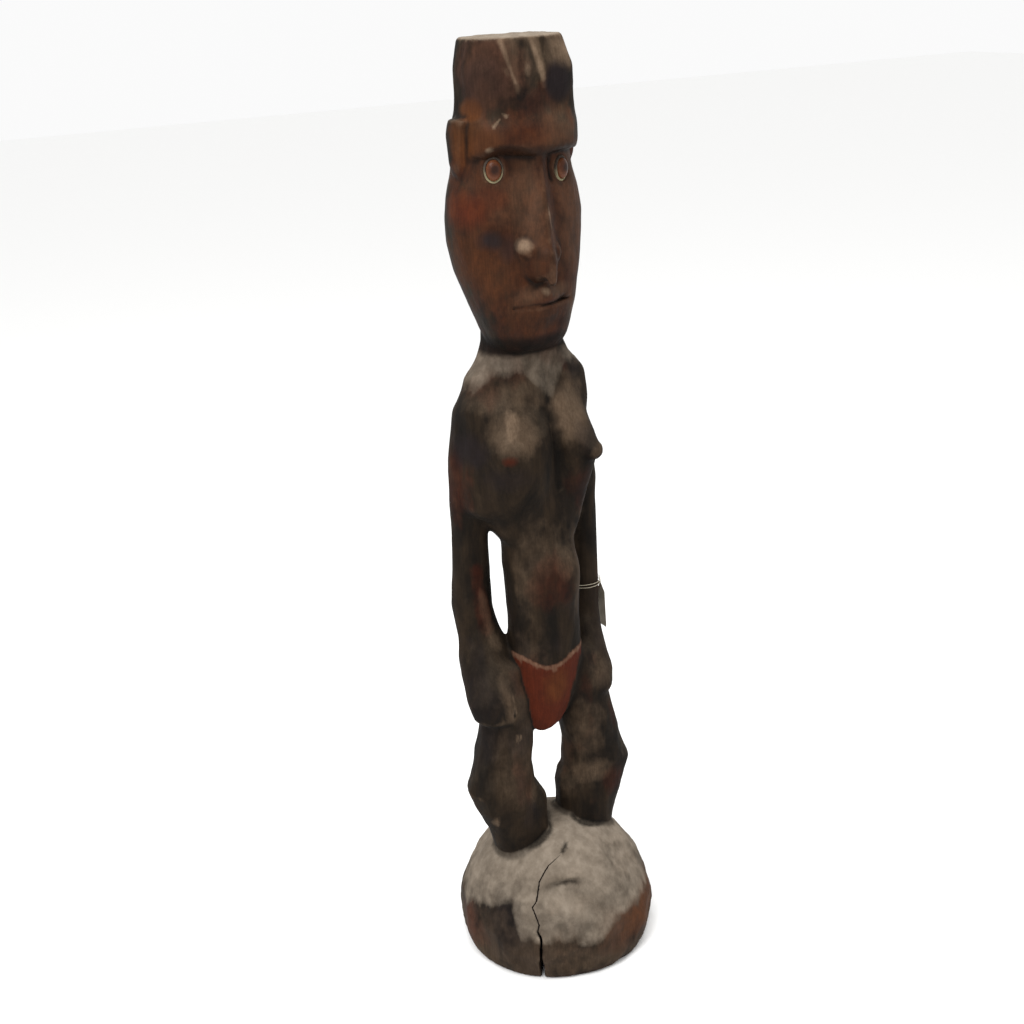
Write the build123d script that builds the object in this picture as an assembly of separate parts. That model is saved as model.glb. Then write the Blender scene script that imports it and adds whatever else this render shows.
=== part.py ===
"""Carved wooden ancestor figure on a domed base, hewn from one log, with inlaid eyes and a strung ticket.

Millimetres. The origin is the centre of the base's underside, +Z is up and the figure faces -Y, so its right hand
is on the -X side. Every carved member is a stack of level cuts (Cut) that are joined by ruled adze facets. A cut's
"forward" is measured from the log's axis towards the face, which is -Y.
"""
import os
from dataclasses import dataclass
from math import cos, copysign, pi, sin

from build123d import *

# ---------------------------------------------------------------- driving dimensions
HEIGHT = 1300.0            # floor to the sawn top of the crown
BASE_FOOT_RADIUS = 136.0   # the base's underside
BASE_WAIST_RADIUS = 148.0  # the widest ring of the base
DOME_TOP = 196.0           # height of the dome between the feet

FACE_TURN = 6.0            # degrees that the head looks past the body, towards the figure's left
NIPPLE_X = {-1: -54.0, 1: 62.0}        # the breasts aren't evenly spaced either
# The two eyes aren't level or evenly spaced. Side 1 is the figure's left and -1 its right.
EYE_SPREAD = {-1: 54.0, 1: 47.0}       # eye centre from the middle of the face
EYE_HEIGHT = {-1: 1143.0, 1: 1135.0}
EYE_FORWARD = {-1: 17.0, 1: 19.0}      # the plane that the eye is let into
EYE_TURN = 20.0            # degrees that each eye looks outwards
SOCKET_WIDTH, SOCKET_TALL, SOCKET_DEEP = 25.0, 33.0, 7.0
INLAY_WIDTH, INLAY_TALL, INLAY_PROUD = 20.0, 27.0, 7.0
BEDDING_SET_BACK = 1.0     # the putty stops this far behind the eye plane
BEDDING_EASE = 0.1         # how much wider the hole in the putty is than the shank

WRIST_X, WRIST_FORWARD = 90.0, -42.0   # axis of the left forearm where the string is tied
WRIST_RADIUS = 22.0
WRIST_LOW, WRIST_HIGH = 516.0, 650.0   # the forearm is round between these heights, so the string runs freely
STRING = 1.2               # string diameter
TURN_RADIUS = 25.0         # centre line of a turn round the forearm
UPPER_TURN_Z, LOWER_TURN_Z = 537.0, 532.0

TICKET_WIDTH, TICKET_TALL, TICKET_THICK = 35.0, 70.0, 0.5
TICKET_CLIP_WIDE, TICKET_CLIP_TALL = 11.5, 13.0
HOLE_RADIUS = 2.25
HOLE_BELOW_TOP = 7.0
HOLE_BELOW_TURN = 10.5
PATCH_RADIUS, PATCH_THICK = 6.0, 0.3
HITCH_HALF_GAP = 1.8       # half the distance between the hitch's two strands
HITCH_RISE = 1.5           # how far the hitch's top passes above the turn that it hangs from

CHECK_WIDE = 4.0           # drying check that splits the base
CHECK_TURN = -35.0         # degrees from straight ahead, towards the figure's right
SMALL_SIDES, LARGE_SIDES = 10, 16


@dataclass(frozen=True)
class Cut:
    """One level cut through a member: height, centre and half sizes."""

    z: float
    x: float
    forward: float
    half_wide: float
    half_deep: float


def outline(cut, sides, squareness=2.5):
    """The cut's outline, a polygon on a superellipse; a higher squareness is boxier."""
    corners = []
    for i in range(sides):
        turn = 2 * pi * (i + 0.5) / sides
        across = copysign(abs(cos(turn)) ** (2 / squareness), cos(turn))
        along = copysign(abs(sin(turn)) ** (2 / squareness), sin(turn))
        corners.append((cut.x + cut.half_wide * across, -cut.forward + cut.half_deep * along, cut.z))
    return make_face(Polyline(*corners, close=True))


def member(cuts, sides=SMALL_SIDES, squareness=2.5):
    """A carved member: its cuts joined by ruled facets."""
    return loft([outline(cut, sides, squareness) for cut in cuts], ruled=True)


def mirrored(cuts):
    """The same cuts on the figure's other side."""
    return [Cut(c.z, -c.x, c.forward, c.half_wide, c.half_deep) for c in cuts]


# ---------------------------------------------------------------- the log: base, legs, trunk and arms
def base():
    """The domed block that the feet grow out of."""
    rings = [
        (0.0, BASE_FOOT_RADIUS),
        (38.0, BASE_WAIST_RADIUS),
        (76.0, 144.0),
        (118.0, 126.0),
        (152.0, 102.0),
        (178.0, 70.0),
        (DOME_TOP, 26.0),
    ]
    return member([Cut(z, 0, 0, radius, radius) for z, radius in rings], LARGE_SIDES, 2.0)


LEG = [
    Cut(118, 54, 2, 30, 32),
    Cut(165, 56, 2, 38, 37),
    Cut(200, 58, 1, 45, 41),
    Cut(236, 66, -1, 53, 43),
    Cut(266, 77, -4, 52, 44),
    Cut(305, 72, -4, 43, 42),
    Cut(350, 64, -4, 41, 41),
    Cut(415, 50, -4, 40, 40),
]

TRUNK = [
    Cut(352, 0, -2, 26, 30),
    Cut(395, 0, 0, 42, 38),
    Cut(450, 0, 2, 51, 42),
    Cut(520, -1, 4, 50, 44),
    Cut(560, -2, 6, 52, 47),
    Cut(600, -3, 4, 51, 46),
    Cut(638, -3, -1, 50, 41),
    Cut(662, -3, -3, 66, 40),
    Cut(690, -1, -5, 72, 40),
    Cut(760, 0, -12, 74, 42),
    Cut(825, 0, -18, 90, 42),
    Cut(868, 0, -22, 88, 40),
    Cut(900, 0, -26, 62, 40),
    Cut(940, 0, -30, 52, 42),
    Cut(990, 0, -32, 50, 42),
]

RIGHT_ARM = mirrored([
    Cut(379, 86, 22, 24, 18),
    Cut(389, 88, 18, 34, 27),
    Cut(412, 90, 8, 38, 34),
    Cut(446, 89, -8, 37, 34),
    Cut(470, 89, -19, 36, 31),
    Cut(494, 86, -30, 32, 29),
    Cut(515, 88, -36, 30, 28),
    Cut(540, 91, -40, 29, 28),
    Cut(582, 89, -42, 26, 26),
    Cut(645, 88, -40, 25, 25),
    Cut(700, 88, -38, 25, 27),
    Cut(762, 86, -34, 27, 29),
    Cut(828, 76, -28, 27, 30),
    Cut(866, 58, -23, 22, 28),
])

LEFT_HAND = [
    Cut(381, 76, 12, 15, 18),
    Cut(393, 78, 8, 24, 28),
    Cut(418, 80, -4, 27, 33),
    Cut(456, 75, -20, 26, 30),
    Cut(496, 84, -36, 22, 25),
    Cut(526, WRIST_X, WRIST_FORWARD, WRIST_RADIUS - 3, WRIST_RADIUS - 3),
]

LEFT_UPPER_ARM = [
    Cut(640, WRIST_X, WRIST_FORWARD, WRIST_RADIUS - 2, WRIST_RADIUS - 2),
    Cut(690, 88, -40, 23, 25),
    Cut(762, 81, -36, 23, 26),
    Cut(828, 66, -29, 23, 28),
    Cut(866, 50, -24, 20, 26),
]


def left_forearm():
    """The round stretch of the left forearm that the string is tied to."""
    low = Align.CENTER, Align.CENTER, Align.MIN
    return Pos(WRIST_X, -WRIST_FORWARD, WRIST_LOW) * Cylinder(WRIST_RADIUS, WRIST_HIGH - WRIST_LOW, align=low)


RIGHT_BREAST = [
    Cut(666, -34, 8, 28, 22),
    Cut(692, -36, 13, 41, 31),
    Cut(745, -37, 20, 50, 36),
    Cut(775, -36, 20, 50, 36),
    Cut(802, -33, 13, 47, 33),
    Cut(856, -28, -8, 36, 24),
]

LEFT_BREAST = [
    Cut(684, 50, 8, 16, 16),
    Cut(708, 54, 13, 22, 24),
    Cut(742, 54, 19, 28, 28),
    Cut(790, 46, 12, 31, 29),
    Cut(824, 40, 1, 29, 26),
    Cut(856, 36, -9, 28, 24),
]


def nipple(side):
    """The blunt tip of the conical breast; side is 1 for the left and -1 for the right."""
    root = Location((NIPPLE_X[side], -34, 769), (90, 0, side * 10))
    return root * Cone(26, 9, 24, align=(Align.CENTER, Align.CENTER, Align.MIN))


# ---------------------------------------------------------------- the log: head
HEAD = [
    Cut(912, 0, -8, 44, 34),
    Cut(930, 0, -12, 57, 46),
    Cut(966, 0, -16, 72, 56),
    Cut(1012, 0, -24, 86, 63),
    Cut(1080, 0, -27, 95, 62),
    Cut(1122, 0, -27, 87, 58),
    Cut(1150, 0, -27, 81, 53),
    Cut(1166, 0, -27, 80, 52),
]

FOREHEAD = [
    Cut(1162, 0, -22, 78, 62),
    Cut(1176, 0, -21, 80, 66),
    Cut(1204, 0, -19, 78, 60),
    Cut(1228, 0, -16, 75, 57),
    Cut(1262, 0, -14, 76, 58),
    Cut(HEIGHT, 0, -18, 67, 53),
]

EAR = [
    Cut(1138, 80, -22, 8, 14),
    Cut(1152, 80, -22, 13, 22),
    Cut(1186, 79, -20, 12, 20),
    Cut(1204, 76, -18, 9, 16),
]

NOSE = [
    Cut(1000, 0, 40, 8, 26),
    Cut(1014, 0, 34, 20, 30),
    Cut(1046, 0, 28, 24, 31),
    Cut(1062, 0, 26, 18, 29),
    Cut(1110, 0, 20, 15, 24),
    Cut(1165, 0, 16, 13, 20),
]

UPPER_LIP = [Cut(977, 0, 20, 30, 30), Cut(985, 0, 18, 27, 38), Cut(998, 0, 12, 17, 30)]
LOWER_LIP = [Cut(957, 0, 12, 18, 28), Cut(967, 0, 18, 25, 32), Cut(975.5, 0, 18, 27, 28)]


def turned_face(shape):
    """Turns a piece of the head from straight ahead to where the figure looks."""
    return Rot(0, 0, FACE_TURN) * shape


def eye_plane(side):
    """The plane that an eye is let into, its Z axis pointing out of the face."""
    turn = EYE_TURN * pi / 180
    plane = Plane(
        origin=(side * EYE_SPREAD[side], -EYE_FORWARD[side], EYE_HEIGHT[side]),
        x_dir=(cos(turn), side * sin(turn), 0),
        z_dir=(side * sin(turn), -cos(turn), 0),
    )
    return Rot(0, 0, FACE_TURN) * plane.location


def oval(width, tall, low, high):
    """An upright oval slug between two depths of an eye plane."""
    return Pos(0, 0, low) * extrude(Ellipse(width / 2, tall / 2), high - low)


def eye_socket(side):
    """What is cut away for one eye: the bored pocket and the hollow in front of it."""
    hollow = extrude(Ellipse(SOCKET_WIDTH / 2 + 6, SOCKET_TALL / 2 + 4), 44)
    pocket = oval(SOCKET_WIDTH, SOCKET_TALL, -SOCKET_DEEP, 20)
    return eye_plane(side) * (pocket + hollow)


def eye_bedding(side):
    """The ring of lime putty that holds the shell."""
    ring = oval(SOCKET_WIDTH, SOCKET_TALL, -SOCKET_DEEP, -BEDDING_SET_BACK)
    hole = oval(INLAY_WIDTH + BEDDING_EASE, INLAY_TALL + BEDDING_EASE, -SOCKET_DEEP, 0)
    return eye_plane(side) * (ring - hole)


def eye_inlay(side):
    """The domed shell plug: a straight shank with a low crown."""
    shank = oval(INLAY_WIDTH, INLAY_TALL, -SOCKET_DEEP, INLAY_PROUD)
    crown = shank.edges().group_by(Axis.Z)[-1]
    return eye_plane(side) * fillet(crown, INLAY_PROUD - 0.8)


def drying_check():
    """The radial split in the base, widest at the rim and running out under the feet."""
    wedge = Polyline((0, 40), (CHECK_WIDE / 2, 160), (-CHECK_WIDE / 2, 160), close=True)
    slab = extrude(make_face(wedge), 150)
    return Rot(0, 0, 180 - CHECK_TURN) * Pos(0, 0, -1) * slab


def carved_figure():
    """The whole carving, one piece of wood from the base to the crown."""
    wood = base()
    pieces = [
        member(LEG), member(mirrored(LEG)),
        member(TRUNK, LARGE_SIDES),
        member(RIGHT_BREAST), member(LEFT_BREAST), nipple(1), nipple(-1),
        member(RIGHT_ARM, squareness=2.2),
        member(LEFT_HAND, squareness=2.2), left_forearm(), member(LEFT_UPPER_ARM, squareness=2.2),
        turned_face(member(HEAD, LARGE_SIDES)), member(FOREHEAD, LARGE_SIDES, 3.0),
    ]
    for piece in pieces:
        wood += piece
    for side in (1, -1):
        wood -= eye_socket(side)
    for cuts in (EAR, mirrored(EAR), NOSE, UPPER_LIP, LOWER_LIP):
        wood += turned_face(member(cuts))
    return wood - drying_check()


# ---------------------------------------------------------------- the string and its ticket
TICKET_X = WRIST_X + TURN_RADIUS           # the ticket hangs on the outer side of the forearm
HOLE_Z = LOWER_TURN_Z - HOLE_BELOW_TURN


def string_turn(z):
    """One turn of string round the forearm."""
    return Pos(WRIST_X, -WRIST_FORWARD, z) * Torus(TURN_RADIUS, STRING / 2)


def string_hitch():
    """The loop of string through the ticket's hole and over the lower turn, a tall link."""
    tall = HOLE_BELOW_TURN + HITCH_RISE - 2 * HITCH_HALF_GAP
    middle = (LOWER_TURN_Z + HITCH_RISE + HOLE_Z) / 2
    centre_line = Plane.XZ * SlotCenterToCenter(tall, 2 * HITCH_HALF_GAP, rotation=90)
    path = centre_line.wire()
    start = Plane(origin=path @ 0, z_dir=path % 0)
    link = sweep(start * Circle(STRING / 2), path=path)
    return Pos(TICKET_X, -WRIST_FORWARD, middle) * link


def ticket_card():
    """The card ticket, its top corners clipped."""
    half, top, foot = TICKET_WIDTH / 2, HOLE_BELOW_TOP, HOLE_BELOW_TOP - TICKET_TALL
    shape = Polyline(
        (half, foot), (half, top - TICKET_CLIP_TALL), (half - TICKET_CLIP_WIDE, top),
        (TICKET_CLIP_WIDE - half, top), (-half, top - TICKET_CLIP_TALL), (-half, foot), close=True,
    )
    card = extrude(make_face(shape) - Circle(HOLE_RADIUS), TICKET_THICK / 2, both=True)
    return hung(card)


def ticket_patches():
    """The two washers that stiffen the ticket's hole, one on each face."""
    washer = extrude(Circle(PATCH_RADIUS) - Circle(HOLE_RADIUS), PATCH_THICK)
    front = Pos(0, 0, TICKET_THICK / 2) * washer
    back = Pos(0, 0, -TICKET_THICK / 2 - PATCH_THICK) * washer
    return Compound(children=[hung(front), hung(back)])


def hung(flat):
    """Takes a ticket piece from its own flat frame, hole at the origin, to where it hangs."""
    place = Plane(origin=(TICKET_X, -WRIST_FORWARD, HOLE_Z), x_dir=(0, 1, 0), z_dir=(1, 0, 0))
    return place * flat


NODES = {
    "carved_figure": carved_figure,
    "right_eye_bedding": lambda: eye_bedding(-1),
    "left_eye_bedding": lambda: eye_bedding(1),
    "right_eye_inlay": lambda: eye_inlay(-1),
    "left_eye_inlay": lambda: eye_inlay(1),
    "string_upper_turn": lambda: string_turn(UPPER_TURN_Z),
    "string_lower_turn": lambda: string_turn(LOWER_TURN_Z),
    "string_hitch": string_hitch,
    "ticket_card": ticket_card,
    "ticket_patches": ticket_patches,
}

os.makedirs("parts", exist_ok=True)
for name, make in NODES.items():
    export_step(make(), f"parts/{name}.step")
    print("wrote", name)
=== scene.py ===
"""A carved ancestor figure: one hewn log with inlaid eyes, and a strung ticket at its left wrist.

Blender works in metres. The log is shaped in millimetres, the carver's unit, and turned to metres when its
mesh is made. The figure stands on the origin and looks along -Y, so its right hand is on the -X side; a size
called "forward" is measured towards the face.
"""
from __future__ import annotations

import logging
import math
from dataclasses import dataclass, field
from enum import Enum
from typing import Any, Sequence

import bmesh
import bpy
import numpy as np
import openvdb
from mathutils import Euler, Matrix, Vector

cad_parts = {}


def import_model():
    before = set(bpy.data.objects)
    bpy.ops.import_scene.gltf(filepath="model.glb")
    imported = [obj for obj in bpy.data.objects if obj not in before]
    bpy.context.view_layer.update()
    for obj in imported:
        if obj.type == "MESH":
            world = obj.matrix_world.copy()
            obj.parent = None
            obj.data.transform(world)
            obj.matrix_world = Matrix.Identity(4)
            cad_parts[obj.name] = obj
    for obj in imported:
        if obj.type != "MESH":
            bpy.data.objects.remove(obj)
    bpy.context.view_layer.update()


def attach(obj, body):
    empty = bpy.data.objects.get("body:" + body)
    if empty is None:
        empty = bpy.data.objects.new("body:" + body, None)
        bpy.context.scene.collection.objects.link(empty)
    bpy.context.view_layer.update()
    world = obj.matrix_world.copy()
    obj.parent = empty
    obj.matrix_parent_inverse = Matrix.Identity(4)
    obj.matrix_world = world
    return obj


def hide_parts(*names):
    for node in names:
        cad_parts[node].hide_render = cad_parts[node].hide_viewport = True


LOG = logging.getLogger("ancestor_figure")
MM = 0.001
Array = np.ndarray
Triple = tuple[float, float, float]
Socket = bpy.types.NodeSocket
Tree = bpy.types.NodeTree


# ----------------------------------------------------------- colour and nodes
def linear(hex_colour: str) -> tuple[float, float, float, float]:
    """Turns an sRGB hex colour to linear light.

    Args:
        hex_colour: six hex digits after a hash.

    Returns:
        Red, green, blue and an alpha of one.
    """
    parts = [int(hex_colour[i:i + 2], 16) / 255 for i in (1, 3, 5)]
    red, green, blue = (c / 12.92 if c <= 0.04045 else ((c + 0.055) / 1.055) ** 2.4 for c in parts)
    return red, green, blue, 1.0


def add_node(tree: Tree, kind: str, inputs: dict[Any, Any] | None = None, **settings: Any) -> bpy.types.Node:
    """Adds a node with its settings, then links or sets its inputs.

    Args:
        tree: the node tree that gets the node.
        kind: the node's type name.
        inputs: socket name or number to a constant or to another node's output socket.
        **settings: the node's own properties.

    Returns:
        The new node.
    """
    node = tree.nodes.new(kind)
    for name, value in settings.items():
        setattr(node, name, value)
    for name, value in (inputs or {}).items():
        if isinstance(value, Socket):
            tree.links.new(value, node.inputs[name])
        else:
            node.inputs[name].default_value = value
    return node


def reckon(tree: Tree, operation: str, *values: Any, clamp: bool = False) -> Socket:
    """Adds one step of arithmetic.

    Args:
        tree: the node tree that gets the node.
        operation: the sum to do, as the node names it.
        *values: what goes in, in order: constants or other nodes' output sockets.
        clamp: True to hold the result between 0 and 1.

    Returns:
        The result's socket.
    """
    inputs = dict(enumerate(values))
    return add_node(tree, "ShaderNodeMath", inputs, operation=operation, use_clamp=clamp).outputs[0]


# -------------------------------------------------------- patterns in numbers
def hashed(ix: Array, iy: Array, iz: Array, seed: int) -> Array:
    """Gives each whole-number cell its own fixed number.

    Args:
        ix: the cells' numbers along X.
        iy: the cells' numbers along Y.
        iz: the cells' numbers along Z.
        seed: the pattern's own number.

    Returns:
        One number from 0 to 1 for each cell.
    """
    mixed = seed * 2654435
    for axis, prime in ((ix, 73856093), (iy, 19349663), (iz, 83492791)):
        mixed = mixed ^ axis.astype(np.int64) * prime
    mixed = (mixed ^ (mixed >> 13)) * 1274126177 & 0x7FFFFFFF
    mixed = (mixed ^ (mixed >> 16)) * 668265263 & 0x7FFFFFFF
    return (mixed & 0xFFFFFF).astype(np.float32) / 0x1000000


def lumps(points: Array, size: Sequence[float], seed: int, layers: int = 3) -> Array:
    """Smooth lumps, about -1 to 1, with finer layers over coarser ones.

    Args:
        points: one row per point, in millimetres.
        size: the size of the coarsest lump along X, Y and Z.
        seed: the pattern's own number.
        layers: how many times the lumps are halved.

    Returns:
        One height per point.
    """
    total, strength, reach = np.zeros(len(points), np.float32), 1.0, 0.0
    scaled = points / np.asarray(size, np.float32)
    for layer in range(layers):
        cell = np.floor(scaled)
        part = scaled - cell
        part = part * part * (3 - 2 * part)
        cell = cell.astype(np.int64)
        value = np.zeros(len(points), np.float32)
        for corner in range(8):
            step = np.array([corner & 1, corner >> 1 & 1, corner >> 2 & 1])
            weight = np.prod(np.where(step, part, 1 - part), axis=1)
            value += weight * hashed(*(cell + step).T, seed + layer)
        total += strength * (2 * value - 1)
        reach += strength
        strength *= 0.5
        scaled = scaled * 2.03
    return total / reach * 1.6


def tool_bites(points: Array, size: Sequence[float], seed: int) -> tuple[Array, Array]:
    """The hollows that single adze strokes leave.

    Args:
        points: one row per point, in millimetres.
        size: a bite's size along X, Y and Z.
        seed: the pattern's own number.

    Returns:
        How far each point is from its bite's middle, 0 to about 1, and a number for each bite, 0 to 1.
    """
    scaled = (points / np.asarray(size, np.float32)).astype(np.float32)
    cell = np.floor(scaled).astype(np.int64)
    nearest = np.full(len(points), 9.0, np.float32)
    owner = np.zeros(len(points), np.float32)
    for step in np.ndindex(3, 3, 3):
        there = cell + np.array(step) - 1
        middle = np.stack([there[:, i] + 0.15 + 0.7 * hashed(*there.T, seed + i) for i in range(3)], axis=1)
        gap = np.sqrt(((scaled - middle) ** 2).sum(axis=1))
        closer = gap < nearest
        nearest = np.where(closer, gap, nearest)
        owner = np.where(closer, hashed(*there.T, seed + 7), owner)
    return nearest, owner


def ramp(low: float, high: float, value: Array) -> Array:
    """Rises smoothly from 0 at low to 1 at high; low may be the larger."""
    share = np.clip((value - low) / (high - low), 0, 1)
    return share * share * (3 - 2 * share)


def smooth_max(one: Array, other: Array, blend: float) -> Array:
    """The larger of two distances, with the crease between them rounded over blend millimetres."""
    share = np.clip(0.5 + 0.5 * (one - other) / blend, 0, 1)
    return other + (one - other) * share + blend * share * (1 - share)


# --------------------------------------------------------- shapes for carving
class Solid:
    """A shape that can be added to the log or cut from it."""

    def reach(self) -> tuple[Array, Array]:
        """The low and high corners of the box that holds the shape, in millimetres."""
        raise NotImplementedError

    def distance(self, x: Array, y: Array, z: Array) -> Array:
        """Measures from points to the shape's skin.

        Args:
            x: the points' X in millimetres, in an array that broadcasts with the other two.
            y: their Y.
            z: their Z.

        Returns:
            The distances in millimetres, negative inside.
        """
        raise NotImplementedError


@dataclass(frozen=True)
class Cut:
    """One level cut through a member: height, centre and half sizes in millimetres."""

    z: float
    x: float
    forward: float
    half_wide: float
    half_deep: float


@dataclass(frozen=True)
class Member(Solid):
    """A member that runs up the log through level cuts.

    Attributes:
        cuts: the level cuts, lowest first.
        squareness: 1 is a diamond, 2 an ellipse, and more is boxier.
        ease: how far the corners of its profile are rounded along its height.
        lip: how far its two ends are rounded.
        turn: degrees that the whole member is turned about the log's axis.
    """

    cuts: tuple[Cut, ...]
    squareness: float = 2.3
    ease: float = 14.0
    lip: float = 8.0
    turn: float = 0.0

    def reach(self) -> tuple[Array, Array]:
        """The corners of the member's box.

        Returns:
            The low and the high corner.
        """
        wide = max(abs(c.x) + c.half_wide for c in self.cuts)
        deep = max(abs(c.forward) + c.half_deep for c in self.cuts)
        slack = 0.12 * (wide + deep) if self.turn else 0.0
        xs = [v for c in self.cuts for v in (c.x - c.half_wide, c.x + c.half_wide)]
        ys = [v for c in self.cuts for v in (-c.forward - c.half_deep, -c.forward + c.half_deep)]
        low = np.array([min(xs) - slack, min(ys) - slack, self.cuts[0].z])
        high = np.array([max(xs) + slack, max(ys) + slack, self.cuts[-1].z])
        return low, high

    def profile(self, heights: Array) -> list[Array]:
        """The member's level cut at each height, eased along the height.

        Args:
            heights: the heights to cut at.

        Returns:
            The cuts' centre x, centre y, half width and half depth.
        """
        fine = np.arange(self.cuts[0].z - 40, self.cuts[-1].z + 40, 1.0)
        window = np.hanning(2 * int(self.ease) + 3)
        window /= window.sum()
        margin = len(window) // 2
        levels = [c.z for c in self.cuts]
        columns = []
        for name, sign in (("x", 1), ("forward", -1), ("half_wide", 1), ("half_deep", 1)):
            raw = np.interp(fine, levels, [sign * getattr(c, name) for c in self.cuts])
            eased = np.convolve(np.pad(raw, margin, mode="edge"), window, mode="valid")
            columns.append(np.interp(heights, fine, eased).astype(np.float32))
        return columns

    def distance(self, x: Array, y: Array, z: Array) -> Array:
        """The distance to the member's skin along level rays from its middle line, told as in Solid."""
        if self.turn:
            c, s = math.cos(math.radians(self.turn)), math.sin(math.radians(self.turn))
            x, y = x * c + y * s, y * c - x * s
        mid_x, mid_y, half_wide, half_deep = (v.reshape(z.shape) for v in self.profile(z.ravel()))
        across, along = np.abs(x - mid_x), np.abs(y - mid_y)
        power = self.squareness
        share = ((across / half_wide) ** power + (along / half_deep) ** power) ** (1 / power)
        length = np.maximum(np.sqrt(across * across + along * along), 1e-3 * half_wide)
        side = length - length / np.maximum(share, 1e-3)
        end = np.maximum(self.cuts[0].z - z, z - self.cuts[-1].z)
        return smooth_max(side, end, self.lip)


@dataclass(frozen=True)
class Panel(Member):
    """A member whose top follows a wavy edge.

    Attributes:
        edge: (x, height) points along the edge.
    """

    edge: tuple[tuple[float, float], ...] = ()

    def distance(self, x: Array, y: Array, z: Array) -> Array:
        """The distance to the panel's skin."""
        top = z - np.interp(x, *zip(*self.edge)).astype(np.float32)
        return smooth_max(super().distance(x, y, z), top, 2.0)


@dataclass(frozen=True)
class Orb(Solid):
    """An egg-shaped lump or scoop: its centre, half sizes and tilt in degrees about X, Y and Z."""

    centre: Triple
    half: Triple
    tilt: Triple = (0.0, 0.0, 0.0)

    def reach(self) -> tuple[Array, Array]:
        """The corners of a box that holds the egg however it is tilted."""
        middle, far = np.array(self.centre), max(self.half)
        far = np.array(self.half) if not any(self.tilt) else far
        return middle - far, middle + far

    def local(self, x: Array, y: Array, z: Array) -> list[Array]:
        """Points as the egg sees them.

        Args:
            x: the points' X.
            y: their Y.
            z: their Z.

        Returns:
            Their places from the egg's centre along its own three axes.
        """
        around = Euler([math.radians(a) for a in self.tilt]).to_matrix().transposed()
        dx, dy, dz = x - self.centre[0], y - self.centre[1], z - self.centre[2]
        return [row[0] * dx + row[1] * dy + row[2] * dz for row in around]

    def distance(self, x: Array, y: Array, z: Array) -> Array:
        """The distance to the egg's skin, good near the skin, told as Solid.distance tells it."""
        p = self.local(x, y, z)
        near = np.sqrt(sum((v / h) ** 2 for v, h in zip(p, self.half)))
        slope = np.sqrt(sum((v / h ** 2) ** 2 for v, h in zip(p, self.half)))
        return (near * (near - 1) / np.maximum(slope, 1e-5)).astype(np.float32)


@dataclass(frozen=True)
class Block(Orb):
    """A box with rounded edges, with the same centre, half sizes and tilt as an egg."""

    edge: float = 2.0

    def reach(self) -> tuple[Array, Array]:
        """The corners of a box that holds the block however it is tilted."""
        middle = np.array(self.centre)
        far = np.linalg.norm(self.half) if any(self.tilt) else np.array(self.half)
        return middle - far, middle + far

    def distance(self, x: Array, y: Array, z: Array) -> Array:
        """The distance to the block's skin, told as Solid.distance tells it."""
        past = [np.abs(v) - (h - self.edge) for v, h in zip(self.local(x, y, z), self.half)]
        outside = np.sqrt(sum(np.maximum(v, 0) ** 2 for v in past))
        inside = np.minimum(np.maximum(np.maximum(past[0], past[1]), past[2]), 0)
        return (outside + inside - self.edge).astype(np.float32)


@dataclass(frozen=True)
class Taper(Solid):
    """A round bar between two points, with its own radius at each."""

    start: Triple
    end: Triple
    start_radius: float
    end_radius: float

    def reach(self) -> tuple[Array, Array]:
        """The low and high corners of the bar's box."""
        ends = np.array([self.start, self.end])
        far = max(self.start_radius, self.end_radius)
        return ends.min(0) - far, ends.max(0) + far

    def distance(self, x: Array, y: Array, z: Array) -> Array:
        """The distance to the bar's skin, told as Solid.distance tells it."""
        along = np.array(self.end) - np.array(self.start)
        p = [x - self.start[0], y - self.start[1], z - self.start[2]]
        share = np.clip(sum(v * a for v, a in zip(p, along)) / (along @ along), 0, 1)
        gap = np.sqrt(sum((v - share * a) ** 2 for v, a in zip(p, along)))
        return (gap - self.start_radius - share * (self.end_radius - self.start_radius)).astype(np.float32)


def scoop(place: Sequence[float], out: Sequence[float], depth: float, wide: float, tall: float,
          lean: float = 0.0) -> Orb:
    """A shallow bite that an adze takes.

    Args:
        place: a point on the uncut skin, in millimetres.
        out: the direction that the skin faces there.
        depth: how deep the bite goes.
        wide: its half width, across the log.
        tall: its half height.
        lean: degrees that it leans in its own plane.

    Returns:
        The egg to cut away.
    """
    facing = Vector(out).normalized()
    thick = depth * 2.6
    flat = math.hypot(facing.x, facing.y)
    tilt = (math.atan2(facing.z, flat) * -1, 0.0, math.atan2(facing.x, -facing.y))
    middle = Vector(place) + facing * (thick - depth)
    grow = 1 / math.sqrt(1 - (1 - depth / thick) ** 2)
    around = Euler(tilt).to_matrix() @ Matrix.Rotation(math.radians(lean), 3, "Y")
    angles = tuple(math.degrees(a) for a in around.to_euler())
    return Orb(tuple(middle), (wide * grow, thick, tall * grow), angles)


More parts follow.
